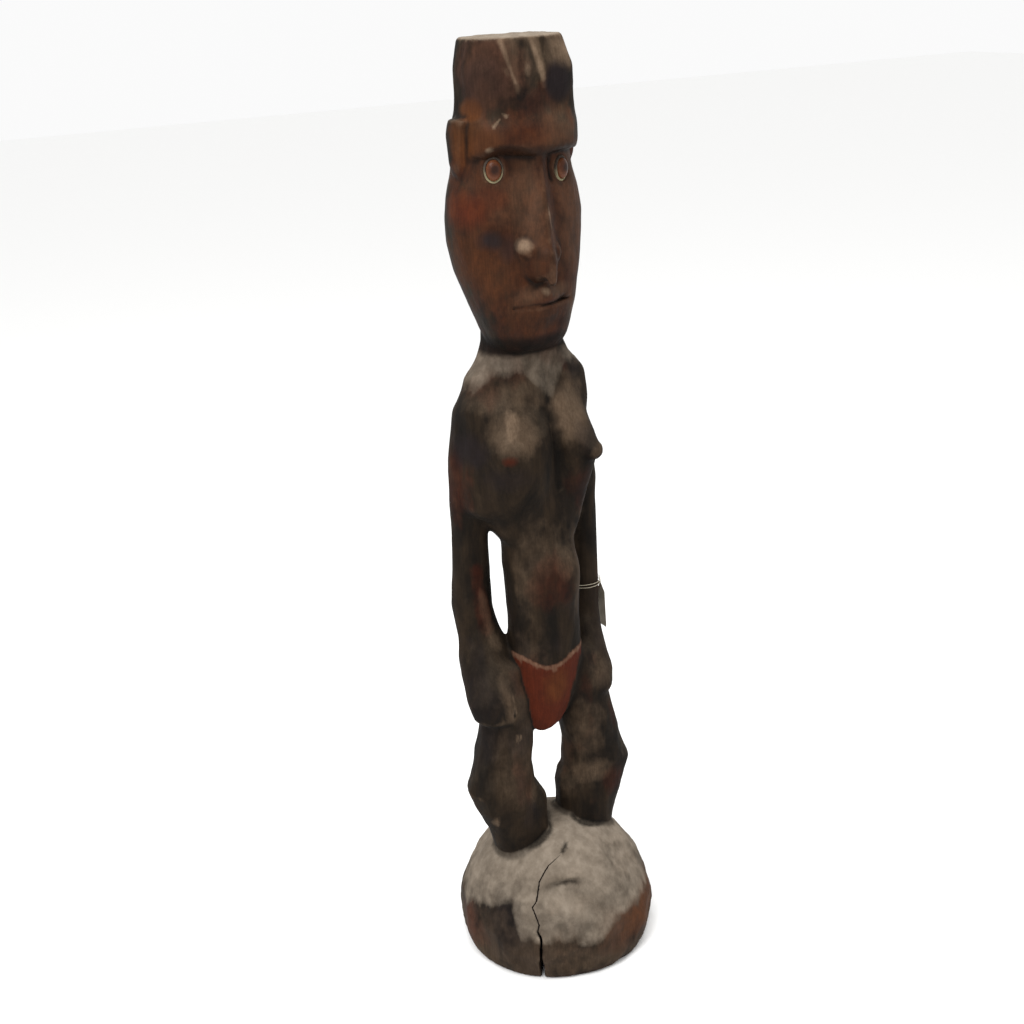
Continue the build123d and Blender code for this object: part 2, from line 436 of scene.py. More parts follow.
class Clay:
    """A block of signed distances, in millimetres, that shapes are added to and cut from."""

    FAR = 30.0

    def __init__(self, low: Sequence[float], high: Sequence[float], pitch: float) -> None:
        """Fills the block with empty space.

        Args:
            low: the block's lowest corner.
            high: its highest corner.
            pitch: the distance between neighbouring samples.
        """
        self.low = np.asarray(low, np.float32)
        self.pitch = pitch
        count = np.ceil((np.asarray(high) - self.low) / pitch).astype(int) + 1
        self.field = np.full(count, self.FAR, np.float32)

    def window(self, solid: Solid, margin: float) -> tuple[tuple[slice, ...], Array, Array, Array]:
        """The part of the block near a solid.

        Args:
            solid: the solid.
            margin: how far past the solid's box it goes.

        Returns:
            The part's slices, then its samples' X, Y and Z.
        """
        low, high = solid.reach()
        first = np.clip(np.floor((low - margin - self.low) / self.pitch).astype(int), 0, self.field.shape)
        last = np.clip(np.ceil((high + margin - self.low) / self.pitch).astype(int) + 1, 0, self.field.shape)
        axes = [(self.low[i] + self.pitch * np.arange(first[i], last[i])).astype(np.float32)
                for i in range(3)]
        where = tuple(slice(a, b) for a, b in zip(first, last))
        return where, axes[0][:, None, None], axes[1][None, :, None], axes[2][None, None, :]

    def add(self, solid: Solid, blend: float = 6.0) -> None:
        """Adds a solid, its crease with the rest rounded over blend millimetres."""
        where, x, y, z = self.window(solid, 12.0 + blend)
        self.field[where] = -smooth_max(-self.field[where], -solid.distance(x, y, z), blend)

    def cut(self, solid: Solid, blend: float = 2.0) -> None:
        """Cuts a solid away, its edge with the rest rounded over blend millimetres."""
        where, x, y, z = self.window(solid, 12.0 + blend)
        self.field[where] = smooth_max(self.field[where], -solid.distance(x, y, z), blend)

    @staticmethod
    def relaxed(values: Array, times: int) -> Array:
        """Softens a block of numbers by averaging each with its neighbours.

        Args:
            values: the numbers.
            times: how many times they are averaged.

        Returns:
            The softened numbers.
        """
        for _ in range(times):
            for axis in range(3):
                ahead, behind = np.roll(values, -1, axis), np.roll(values, 1, axis)
                values = 0.5 * values + 0.25 * (ahead + behind)
        return values

    def sample(self, values: Array, points: Array) -> Array:
        """Reads a block of numbers at points between its samples.

        Args:
            values: the numbers, one for each sample of the clay.
            points: one row for each point.

        Returns:
            One number for each point.
        """
        where = np.clip((points - self.low) / self.pitch, 0, np.array(values.shape) - 1.001)
        cell = where.astype(np.int64)
        part = (where - cell).astype(np.float32)
        flat, total = values.reshape(-1), np.zeros(len(points), np.float32)
        stride = (values.shape[1] * values.shape[2], values.shape[2], 1)
        for corner in range(8):
            step = np.array([corner & 1, corner >> 1 & 1, corner >> 2 & 1])
            weight = np.prod(np.where(step, part, 1 - part), axis=1)
            total += weight * flat[((cell + step) * stride).sum(axis=1)]
        return total

    def normals(self, points: Array) -> Array:
        """The outward direction of the skin.

        Args:
            points: one row for each point.

        Returns:
            One direction of length 1 for each point.
        """
        slope = []
        for axis in range(3):
            step = np.zeros(3, np.float32)
            step[axis] = self.pitch * 0.8
            slope.append(self.sample(self.field, points + step) - self.sample(self.field, points - step))
        slope = np.stack(slope, axis=1)
        return slope / np.maximum(np.linalg.norm(slope, axis=1, keepdims=True), 1e-6)

    def skin(self) -> tuple[Array, Array]:
        """The closed skin where the distance is zero.

        Returns:
            Its points and its four-sided faces.
        """
        grid = openvdb.FloatGrid(background=3 * self.pitch)
        grid.copyFromArray(np.clip(self.field, -3 * self.pitch, 3 * self.pitch))
        points, faces = grid.convertToQuads(isovalue=0.0)
        return (points * self.pitch + self.low).astype(np.float32), faces.astype(np.int64)


def turned(point: Sequence[float], degrees: float) -> Triple:
    """A point swung about the log's axis."""
    c, s = math.cos(math.radians(degrees)), math.sin(math.radians(degrees))
    return point[0] * c - point[1] * s, point[0] * s + point[1] * c, point[2]


# --------------------------------------------------------- members of the log
@dataclass(frozen=True)
class Base:
    """The domed round block that the feet grow out of.

    Attributes:
        split_path: (height, sideways offset) points of the drying split on the block's skin.
        dust_line: (degrees round the block, height) points above which dust lies.
        strikes: the adze's flats, as degrees round the block, height, upward lean, half width and half
            height.
        side_strike: how deep a flat on the side goes, and how far its edge is rounded.
        dome_strike: the same for a flat on the dome, which starts at the height dome_from.
    """

    foot_radius: float = 135.0
    waist_radius: float = 147.0
    dome_top: float = 197.0
    split_turn: float = -35.0
    split_wide: float = 5.4
    split_path: tuple[tuple[float, float], ...] = (
        (0, -5), (40, -5), (70, -4), (81, -9), (92, -7), (104, -12), (114, -17), (122, -11), (144, -8),
        (154, -2), (162, 5), (169, 17), (178, 25), (200, 30))
    dust_line: tuple[tuple[float, float], ...] = (
        (-180, 84), (-130, 90), (-100, 76), (-84, 84), (-70, 98), (-57, 106), (-49, 64), (-34, 64),
        (-20, 66), (-2, 60), (14, 82), (48, 86), (90, 92), (140, 78), (180, 84))
    strikes: tuple[tuple[float, float, float, float, float], ...] = (
        (-72, 30, 0.0, 38, 40), (-52, 62, 0.2, 24, 34), (-18, 28, -0.1, 40, 30), (16, 34, 0.1, 42, 34),
        (50, 30, 0.0, 36, 36), (84, 44, 0.2, 42, 44), (118, 32, 0.0, 38, 40), (152, 40, 0.1, 42, 38),
        (190, 34, 0.0, 40, 40), (222, 42, 0.1, 40, 42), (254, 34, 0.1, 40, 38), (-20, 108, 0.9, 44, 34),
        (44, 116, 0.9, 46, 36), (110, 110, 0.9, 38, 32), (150, 124, 1.1, 36, 30), (196, 110, 0.8, 40, 32),
        (238, 120, 1.0, 36, 30))
    dome_from: float = 100.0
    side_strike: tuple[float, float] = (4.2, 2.5)
    dome_strike: tuple[float, float] = (2.4, 6.0)

    def block(self) -> Member:
        """The block before it is hewn.

        Returns:
            The block, as one member of level rings.
        """
        rings = ((0, self.foot_radius), (14, 141), (44, self.waist_radius), (60, 145), (86, 139), (118, 126),
                 (150, 104), (176, 74), (self.dome_top, 30))
        return Member(tuple(Cut(z, 0, 0, r, r) for z, r in rings), 2.0, 7, 5)

    def shape(self, clay: Clay) -> None:
        """Adds the block and hews its sides and dome into flats."""
        block = self.block()
        clay.add(block)
        for turn, height, rise, wide, tall in self.strikes:
            spin = math.radians(turn)
            radius = float(np.interp(height, [c.z for c in block.cuts], [c.half_wide for c in block.cuts]))
            out = (math.sin(spin), -math.cos(spin), rise)
            depth, soft = self.side_strike if height < self.dome_from else self.dome_strike
            clay.cut(scoop((radius * out[0], radius * out[1], height), out, depth, wide, tall, turn), soft)

    def split(self, clay: Clay) -> None:
        """Opens the lower part of the drying split, widest at the foot."""
        where, x, y, z = clay.window(Orb((0, 0, 40), (150, 150, 60)), 4)
        spin = math.radians(self.split_turn)
        out = x * math.sin(spin) - y * math.cos(spin)
        side = x * math.cos(spin) + y * math.sin(spin) - np.interp(z, *zip(*self.split_path))
        width = self.split_wide * (0.72 + 0.28 * ramp(70, 10, z)) * ramp(96, 74, z)
        gap = np.maximum(np.abs(side) - width / 2 + 4 * ramp(80, 96, z), 60 - out)
        clay.field[where] = np.maximum(clay.field[where], -gap.astype(np.float32))

    def dusty(self, points: Array, ragged: Array) -> Array:
        """How dusty each point of the log is; the dust lies only on the block's own skin.

        Args:
            points: one row for each point.
            ragged: a wandering number for each point, about -1 to 1, that frays the dust's edge.

        Returns:
            How much dust lies at each point, 0 to 1.
        """
        spin = np.degrees(np.arctan2(points[:, 0], -points[:, 1]))
        line = np.interp(spin, *zip(*self.dust_line))
        return ramp(-7, 9, points[:, 2] - line + 12 * ragged) * ramp(9, 3, self.block().distance(*points.T))


@dataclass(frozen=True)
class Legs:
    """The two short, angular legs."""

    left: tuple[Cut, ...] = (
        Cut(112, 54, 3, 24, 26), Cut(140, 54, 3, 31, 33), Cut(165, 56, 2, 38, 38), Cut(200, 58, 1, 45, 42),
        Cut(236, 66, -1, 54, 45), Cut(264, 78, -4, 53, 47), Cut(305, 72, -4, 44, 44),
        Cut(350, 64, -4, 42, 43), Cut(410, 54, -5, 37, 38), Cut(462, 56, -8, 26, 28))
    right: tuple[Cut, ...] = (
        Cut(112, -54, 3, 24, 26), Cut(140, -54, 3, 31, 33), Cut(165, -56, 2, 38, 38),
        Cut(200, -58, 1, 45, 42), Cut(236, -66, -1, 54, 45), Cut(264, -78, -4, 52, 47),
        Cut(305, -74, -4, 43, 44), Cut(350, -67, -4, 40, 43), Cut(410, -60, -5, 35, 38),
        Cut(462, -58, -8, 26, 28))

    def shape(self, clay: Clay) -> None:
        """Adds the legs with their calf ledges and cuts the flats of the knees."""
        clay.add(Member(self.left, 2.0, 5, 16), 9)
        clay.add(Member(self.right, 2.0, 5, 16), 9)
        for side in (1, -1):
            clay.add(Block((side * 38, -2, 219), (16, 27, 41), (-6, side * 12, side * 14), edge=5), 6)
            clay.cut(scoop((side * 66, 42, 222), (side * 0.3, 1, -0.3), 3.0, 24, 28), 7)


@dataclass(frozen=True)
class Trunk:
    """The belly, chest, neck and breasts, and the raised apron panel."""

    trunk: tuple[Cut, ...] = (
        Cut(350, -8, -2, 20, 24), Cut(372, -6, 0, 32, 34), Cut(400, -3, 1, 42, 39), Cut(450, 0, 2, 51, 42),
        Cut(520, -1, 3, 50, 43), Cut(560, -2, 4, 51, 44), Cut(600, -3, 2, 51, 43), Cut(636, -3, -2, 50, 41),
        Cut(660, -4, -4, 66, 40), Cut(688, -2, -6, 74, 40), Cut(760, 0, -12, 78, 42),
        Cut(825, 0, -18, 88, 42), Cut(866, 0, -22, 86, 41), Cut(890, 0, -25, 66, 41),
        Cut(912, 0, -27, 54, 42), Cut(950, 0, -30, 51, 42))
    right_breast: tuple[Cut, ...] = (
        Cut(664, -34, 6, 28, 24), Cut(690, -36, 11, 40, 30), Cut(720, -37, 16, 47, 34),
        Cut(745, -37, 19, 50, 36), Cut(775, -36, 19, 50, 36), Cut(800, -34, 14, 48, 34),
        Cut(830, -31, 5, 43, 30), Cut(862, -28, -8, 36, 25))
    left_breast: tuple[Cut, ...] = (
        Cut(688, 48, 6, 15, 16), Cut(712, 51, 12, 21, 23), Cut(745, 53, 17, 27, 27),
        Cut(790, 46, 11, 30, 29), Cut(824, 40, 0, 29, 26), Cut(856, 36, -10, 28, 24))
    apron: Panel = Panel((
        Cut(351, -14, 3, 17, 26), Cut(362, -13, 4, 29, 34), Cut(392, -10, 4, 38, 38),
        Cut(430, -6, 4, 47, 41), Cut(482, 0, 6, 52.5, 42)), 2.4, 6, 3, 0.0,
        ((-60, 474), (-48, 475), (-34, 466), (-22, 460), (-8, 458), (4, 462), (14, 468), (30, 474),
         (60, 476)))

    def shape(self, clay: Clay) -> None:
        """Adds the trunk, the belly's swell, the breasts and the raised apron panel."""
        clay.add(Member(self.trunk, 2.5, 9, 8), 8)
        clay.add(Orb((6, -26, 588), (37, 27, 46)), 14)
        clay.add(Member(self.right_breast, 2.1, 10, 9), 9)
        clay.add(Taper((-40, -17, 792), (-54, -37, 780), 40, 20), 18)
        clay.add(Taper((-74, 4, 826), (-80, 6, 704), 28, 24), 20)
        clay.add(Member(self.left_breast, 2.1, 10, 9), 9)
        clay.add(Taper((47, -12, 784), (63, -47, 764), 31, 14), 12)
        clay.cut(Taper((19, -27, 862), (18, -36, 792), 2.0, 4.0), 8)
        clay.cut(Taper((18, -36, 792), (19, -34, 716), 4.0, 5.0), 8)
        clay.cut(scoop((-28, -44, 812), (0.3, -1, 0.7), 3, 24, 30, 14), 7)
        clay.add(self.apron, 1.5)


@dataclass(frozen=True)
class Arms:
    """The two arms that hang free and end in paddle-shaped hands."""

    right: tuple[Cut, ...] = (
        Cut(379, -86, 22, 22, 16), Cut(387, -88, 18, 33, 26), Cut(410, -90, 9, 37.5, 33),
        Cut(446, -88.5, -8, 36, 34), Cut(470, -88, -19, 35, 31), Cut(494, -85, -30, 32, 29),
        Cut(515, -88, -36, 30, 28), Cut(540, -91, -40, 28.5, 28), Cut(582, -89, -42, 26.5, 26),
        Cut(645, -87.5, -40, 25, 25), Cut(700, -88, -38, 26, 27), Cut(762, -86, -34, 27, 29),
        Cut(828, -76, -28, 27, 30), Cut(868, -58, -23, 22, 28))
    left: tuple[Cut, ...] = (
        Cut(381, 76, 12, 15, 17), Cut(391, 78, 9, 23, 27), Cut(418, 80, -4, 27, 33),
        Cut(456, 77, -20, 26, 30), Cut(496, 85, -36, 22, 24), Cut(520, 90, -42, 21.6, 21.6),
        Cut(650, 90, -42, 21.4, 21.4), Cut(700, 88, -40, 23, 25), Cut(762, 81, -36, 23, 26),
        Cut(828, 66, -29, 23, 28), Cut(868, 50, -24, 20, 26))

    def shape(self, clay: Clay) -> None:
        """Adds the arms and scores the fingers of the right hand."""
        clay.add(Member(self.right, 2.1, 8, 9), 14)
        clay.add(Member(self.left, 2.05, 8, 8), 5)
        for top, foot in (((-80, -31, 440), (-84, -45, 392)), ((-67, -27, 434), (-71, -39, 392))):
            clay.cut(Taper(top, foot, 0.8, 1.8), 4)


@dataclass(frozen=True)
class Head:
    """The long face with its overhanging brow, and the hewn block of the crown.

    Attributes:
        eyes: for each side of the face, the eye's distance from the middle, how far forward it is, and its
            height.
        flutes: the strokes struck down the crown, as x, forward, height, half sizes and tilt.
    """

    turn: float = 6.0
    eyes: tuple[tuple[int, float, float, float], ...] = ((-1, 54.0, 17.0, 1143.0), (1, 47.0, 19.0, 1135.0))
    face: tuple[Cut, ...] = (
        Cut(906, 0, -8, 42, 30), Cut(915, 0, -9, 52, 40), Cut(932, 0, -12, 60, 49), Cut(966, 0, -16, 72, 56),
        Cut(1012, 0, -24, 86, 62), Cut(1050, 0, -27, 93, 62), Cut(1080, 0, -27, 95, 61),
        Cut(1108, 0, -27, 91, 58), Cut(1134, 0, -27, 84, 54), Cut(1160, 0, -27, 80, 50),
        Cut(1176, 0, -27, 78, 50))
    crown: tuple[Cut, ...] = (
        Cut(1158, 0, -22, 77, 60), Cut(1170, 0, -21, 78, 66), Cut(1190, 0, -20, 78, 64),
        Cut(1210, 1, -19, 75, 57), Cut(1234, 1, -17, 73, 56), Cut(1262, 0.5, -15, 73, 57),
        Cut(1300, -2, -18, 62, 52))
    nose: tuple[Cut, ...] = (
        Cut(1001, -5, 44, 9, 22), Cut(1009, -5, 36, 20, 32), Cut(1024, -4, 28, 29, 39),
        Cut(1044, -3, 24, 30, 38), Cut(1080, 0, 19, 27, 35), Cut(1120, 3, 13, 25, 30),
        Cut(1168, 5, 6, 24, 28))
    flutes: tuple[tuple[float, float, float, Triple, Triple], ...] = (
        (-25, 44, 1290, (15, 8, 52), (4, -10, -14)), (7, 46, 1288, (8, 7, 46), (4, 8, 6)),
        (-60, 34, 1240, (22, 6, 40), (3, 4, -48)), (46, 43, 1250, (18, 6, 34), (-4, 0, 34)),
        (0, -78, 1250, (30, 7, 48), (0, 0, 4)), (-70, -54, 1244, (24, 6, 44), (0, 0, 58)))

    def shape(self, clay: Clay) -> None:
        """Adds the head's masses in the order that they stand on each other."""
        clay.add(Member(self.face, 2.35, 9, 7, self.turn), 3)
        clay.add(Member(self.crown, 3.0, 6, 5, 1.5), 4)
        for eye in self.eyes:
            self.hollow_eye(clay, *eye)
        self.hew_crown(clay)
        clay.add(Member(self.nose, 1.35, 8, 5, self.turn), 7)
        self.wings_and_mouth(clay)
        for side in (1, -1):
            ear = (Cut(1136, side * 79, -23, 8, 9), Cut(1150, side * 80.5, -23, 10.5, 14),
                   Cut(1186, side * 80.5, -23, 11, 18), Cut(1205, side * 78, -22, 9, 17))
            clay.add(Member(ear, 2.5, 6, 4, self.turn), 5)

    def on_face(self, x: float, forward: float, z: float) -> Triple:
        """A point given as the face sees it, turned to where the figure looks."""
        return turned((x, -forward, z), self.turn)

    def hollow_eye(self, clay: Clay, side: int, spread: float, forward: float, height: float) -> None:
        """Hollows the eye's bay below the brow and bores the pocket for the shell.

        Args:
            clay: the block that the head is shaped in.
            side: 1 for the figure's left, -1 for its right.
            spread: the eye's distance from the middle of the face.
            forward: how far forward of the log's axis it is.
            height: the eye's height.
        """
        out = side * 20.0 + self.turn
        lean = 8 if side < 0 else -3
        clay.cut(Orb(self.on_face(side * 43, 44, height + 2), (38, 27, 24), (0, lean, out)), 9)
        if side > 0:
            clay.cut(Orb(self.on_face(side * 27, 34, height + 4), (13, 21, 19), (0, 0, out)), 6)
        middle = Vector(self.on_face(side * spread, forward, height))
        facing = Vector((math.sin(math.radians(out)), -math.cos(math.radians(out)), 0))
        clay.add(Orb(tuple(middle - 6 * facing), (16.5, 7.5, 19.5), (0, 0, out)), 6)
        clay.cut(Orb(tuple(middle + 4 * facing), (12.7, 15, 16.7), (0, 0, out)), 1)

    def hew_crown(self, clay: Clay) -> None:
        """Strikes the flutes down the front of the crown and bevels its sides."""
        for x, forward, z, half, tilt in self.flutes:
            clay.cut(Orb((x, -forward, z), half, tilt), 3)

    def wings_and_mouth(self, clay: Clay) -> None:
        """Adds the nose's wings and hooked tip, and the pursed mouth with its slit."""
        clay.add(Taper(self.on_face(-3, 56, 1034), self.on_face(-5, 64, 1004), 9, 6.5), 7)
        clay.add(Orb(self.on_face(-24, 37, 1042), (10, 15, 12), (20, -14, self.turn)), 7)
        clay.add(Orb(self.on_face(17, 38, 1035), (8, 14, 12), (20, 14, self.turn)), 5)
        clay.cut(Orb(self.on_face(-2, 50, 996), (36, 16, 7), (-42, 0, self.turn)), 3)
        lip = (Cut(969, 0, 6, 46, 38), Cut(978, 0, 6, 45, 42), Cut(988, 0, 6, 32, 42),
               Cut(1002, 0, 2, 14, 40))
        clay.add(Member(lip, 1.7, 4, 4, self.turn), 6)
        chin = (Cut(942, 0, 2, 28, 36), Cut(955, 0, 5, 40, 39), Cut(969, 0, 7, 46, 38))
        clay.add(Member(chin, 1.8, 4, 3, self.turn), 7)
        clay.cut(Block(self.on_face(0, 40, 970), (45, 24, 1.3), (-3, -1, self.turn), edge=1.0), 2.5)
        clay.cut(Orb(self.on_face(25, 40, 973), (13, 3.4, 2.4), (0, -10, self.turn + 40)), 4)


# -------------------------------------------------------- pigments, painted light and painted shade on the log
class Pigment(Enum):
    """What lies on the wood, and the painted light and shade laid with it, as (attribute, channel) of the
    carving's painted masks.
    """

    OXIDE = ("pigment", 0)
    OCHRE = ("pigment", 1)
    # soot, and painted shade under the right breast, beside the right arm and under the right hand
    SOOT = ("pigment", 2)
    DUST = ("surface", 0)
    # worn paleness, and painted highlights on the nose, the lips, the right breast and the right hand
    WORN = ("surface", 1)
    # dark grime and painted shade: in hollows, in the mouth's slit, under the chin and on down-turned faces
    CAVITY = ("surface", 2)
    # bare pale wood, and painted light on lit planes of the breasts, lips, chin, nose, belly and right hand
    BARE = ("tone", 0)
    BLOOM = ("tone", 1)
    POLISH = ("tone", 2)


@dataclass(frozen=True)
class Patch:
    """A patch of one pigment, or of painted light or shade, on the log.

    Attributes:
        pigment: what the patch is made of, or the light or shade that it paints.
        centre: its middle in millimetres.
        half: its half sizes along X, Y and Z.
        strength: how much of it there is, 0 to 1.
        soft: how wide its edge fades, as a share of its size.
        lean: degrees that it leans in the plane of the front.
    """

    pigment: Pigment
    centre: Triple
    half: Triple
    strength: float = 1.0
    soft: float = 0.4
    lean: float = 0.0

    def cover(self, points: Array, noise: Array) -> Array:
        """How much of the pigment covers each point.

        Args:
            points: one row for each point.
            noise: a wandering number for each point that frays the patch's edge.

        Returns:
            One cover for each point, 0 to the patch's strength.
        """
        p = points - np.array(self.centre, np.float32)
        c, s = math.cos(math.radians(self.lean)), math.sin(math.radians(self.lean))
        across, up = p[:, 0] * c + p[:, 2] * s, p[:, 2] * c - p[:, 0] * s
        wide, deep, tall = self.half
        far = np.sqrt((across / wide) ** 2 + (p[:, 1] / deep) ** 2 + (up / tall) ** 2)
        return self.strength * ramp(1 + self.soft, 1 - self.soft, far + 0.3 * noise)


@dataclass(frozen=True)
class Stroke:
    """A tapering stroke of one pigment, or of painted light or shade, on the log: its two ends in millimetres
    and its half width at each.
    """

    pigment: Pigment
    start: Triple
    end: Triple
    start_half: float
    end_half: float
    strength: float = 1.0
    soft: float = 0.5

    def cover(self, points: Array, noise: Array) -> Array:
        """How much of the pigment covers each point.

        Args:
            points: one row for each point.
            noise: a wandering number for each point that frays the stroke's edge.

        Returns:
            One cover for each point, 0 to the stroke's strength.
        """
        start = np.array(self.start, np.float32)
        along = np.array(self.end, np.float32) - start
        raw = (points - start) @ along / (along @ along)
        share = np.clip(raw, 0, 1)
        gap = np.linalg.norm(points - start - share[:, None] * along, axis=1)
        half = self.start_half + share * (self.end_half - self.start_half)
        return self.strength * ramp(1 + self.soft, 1 - self.soft, gap / half + 0.25 * noise)


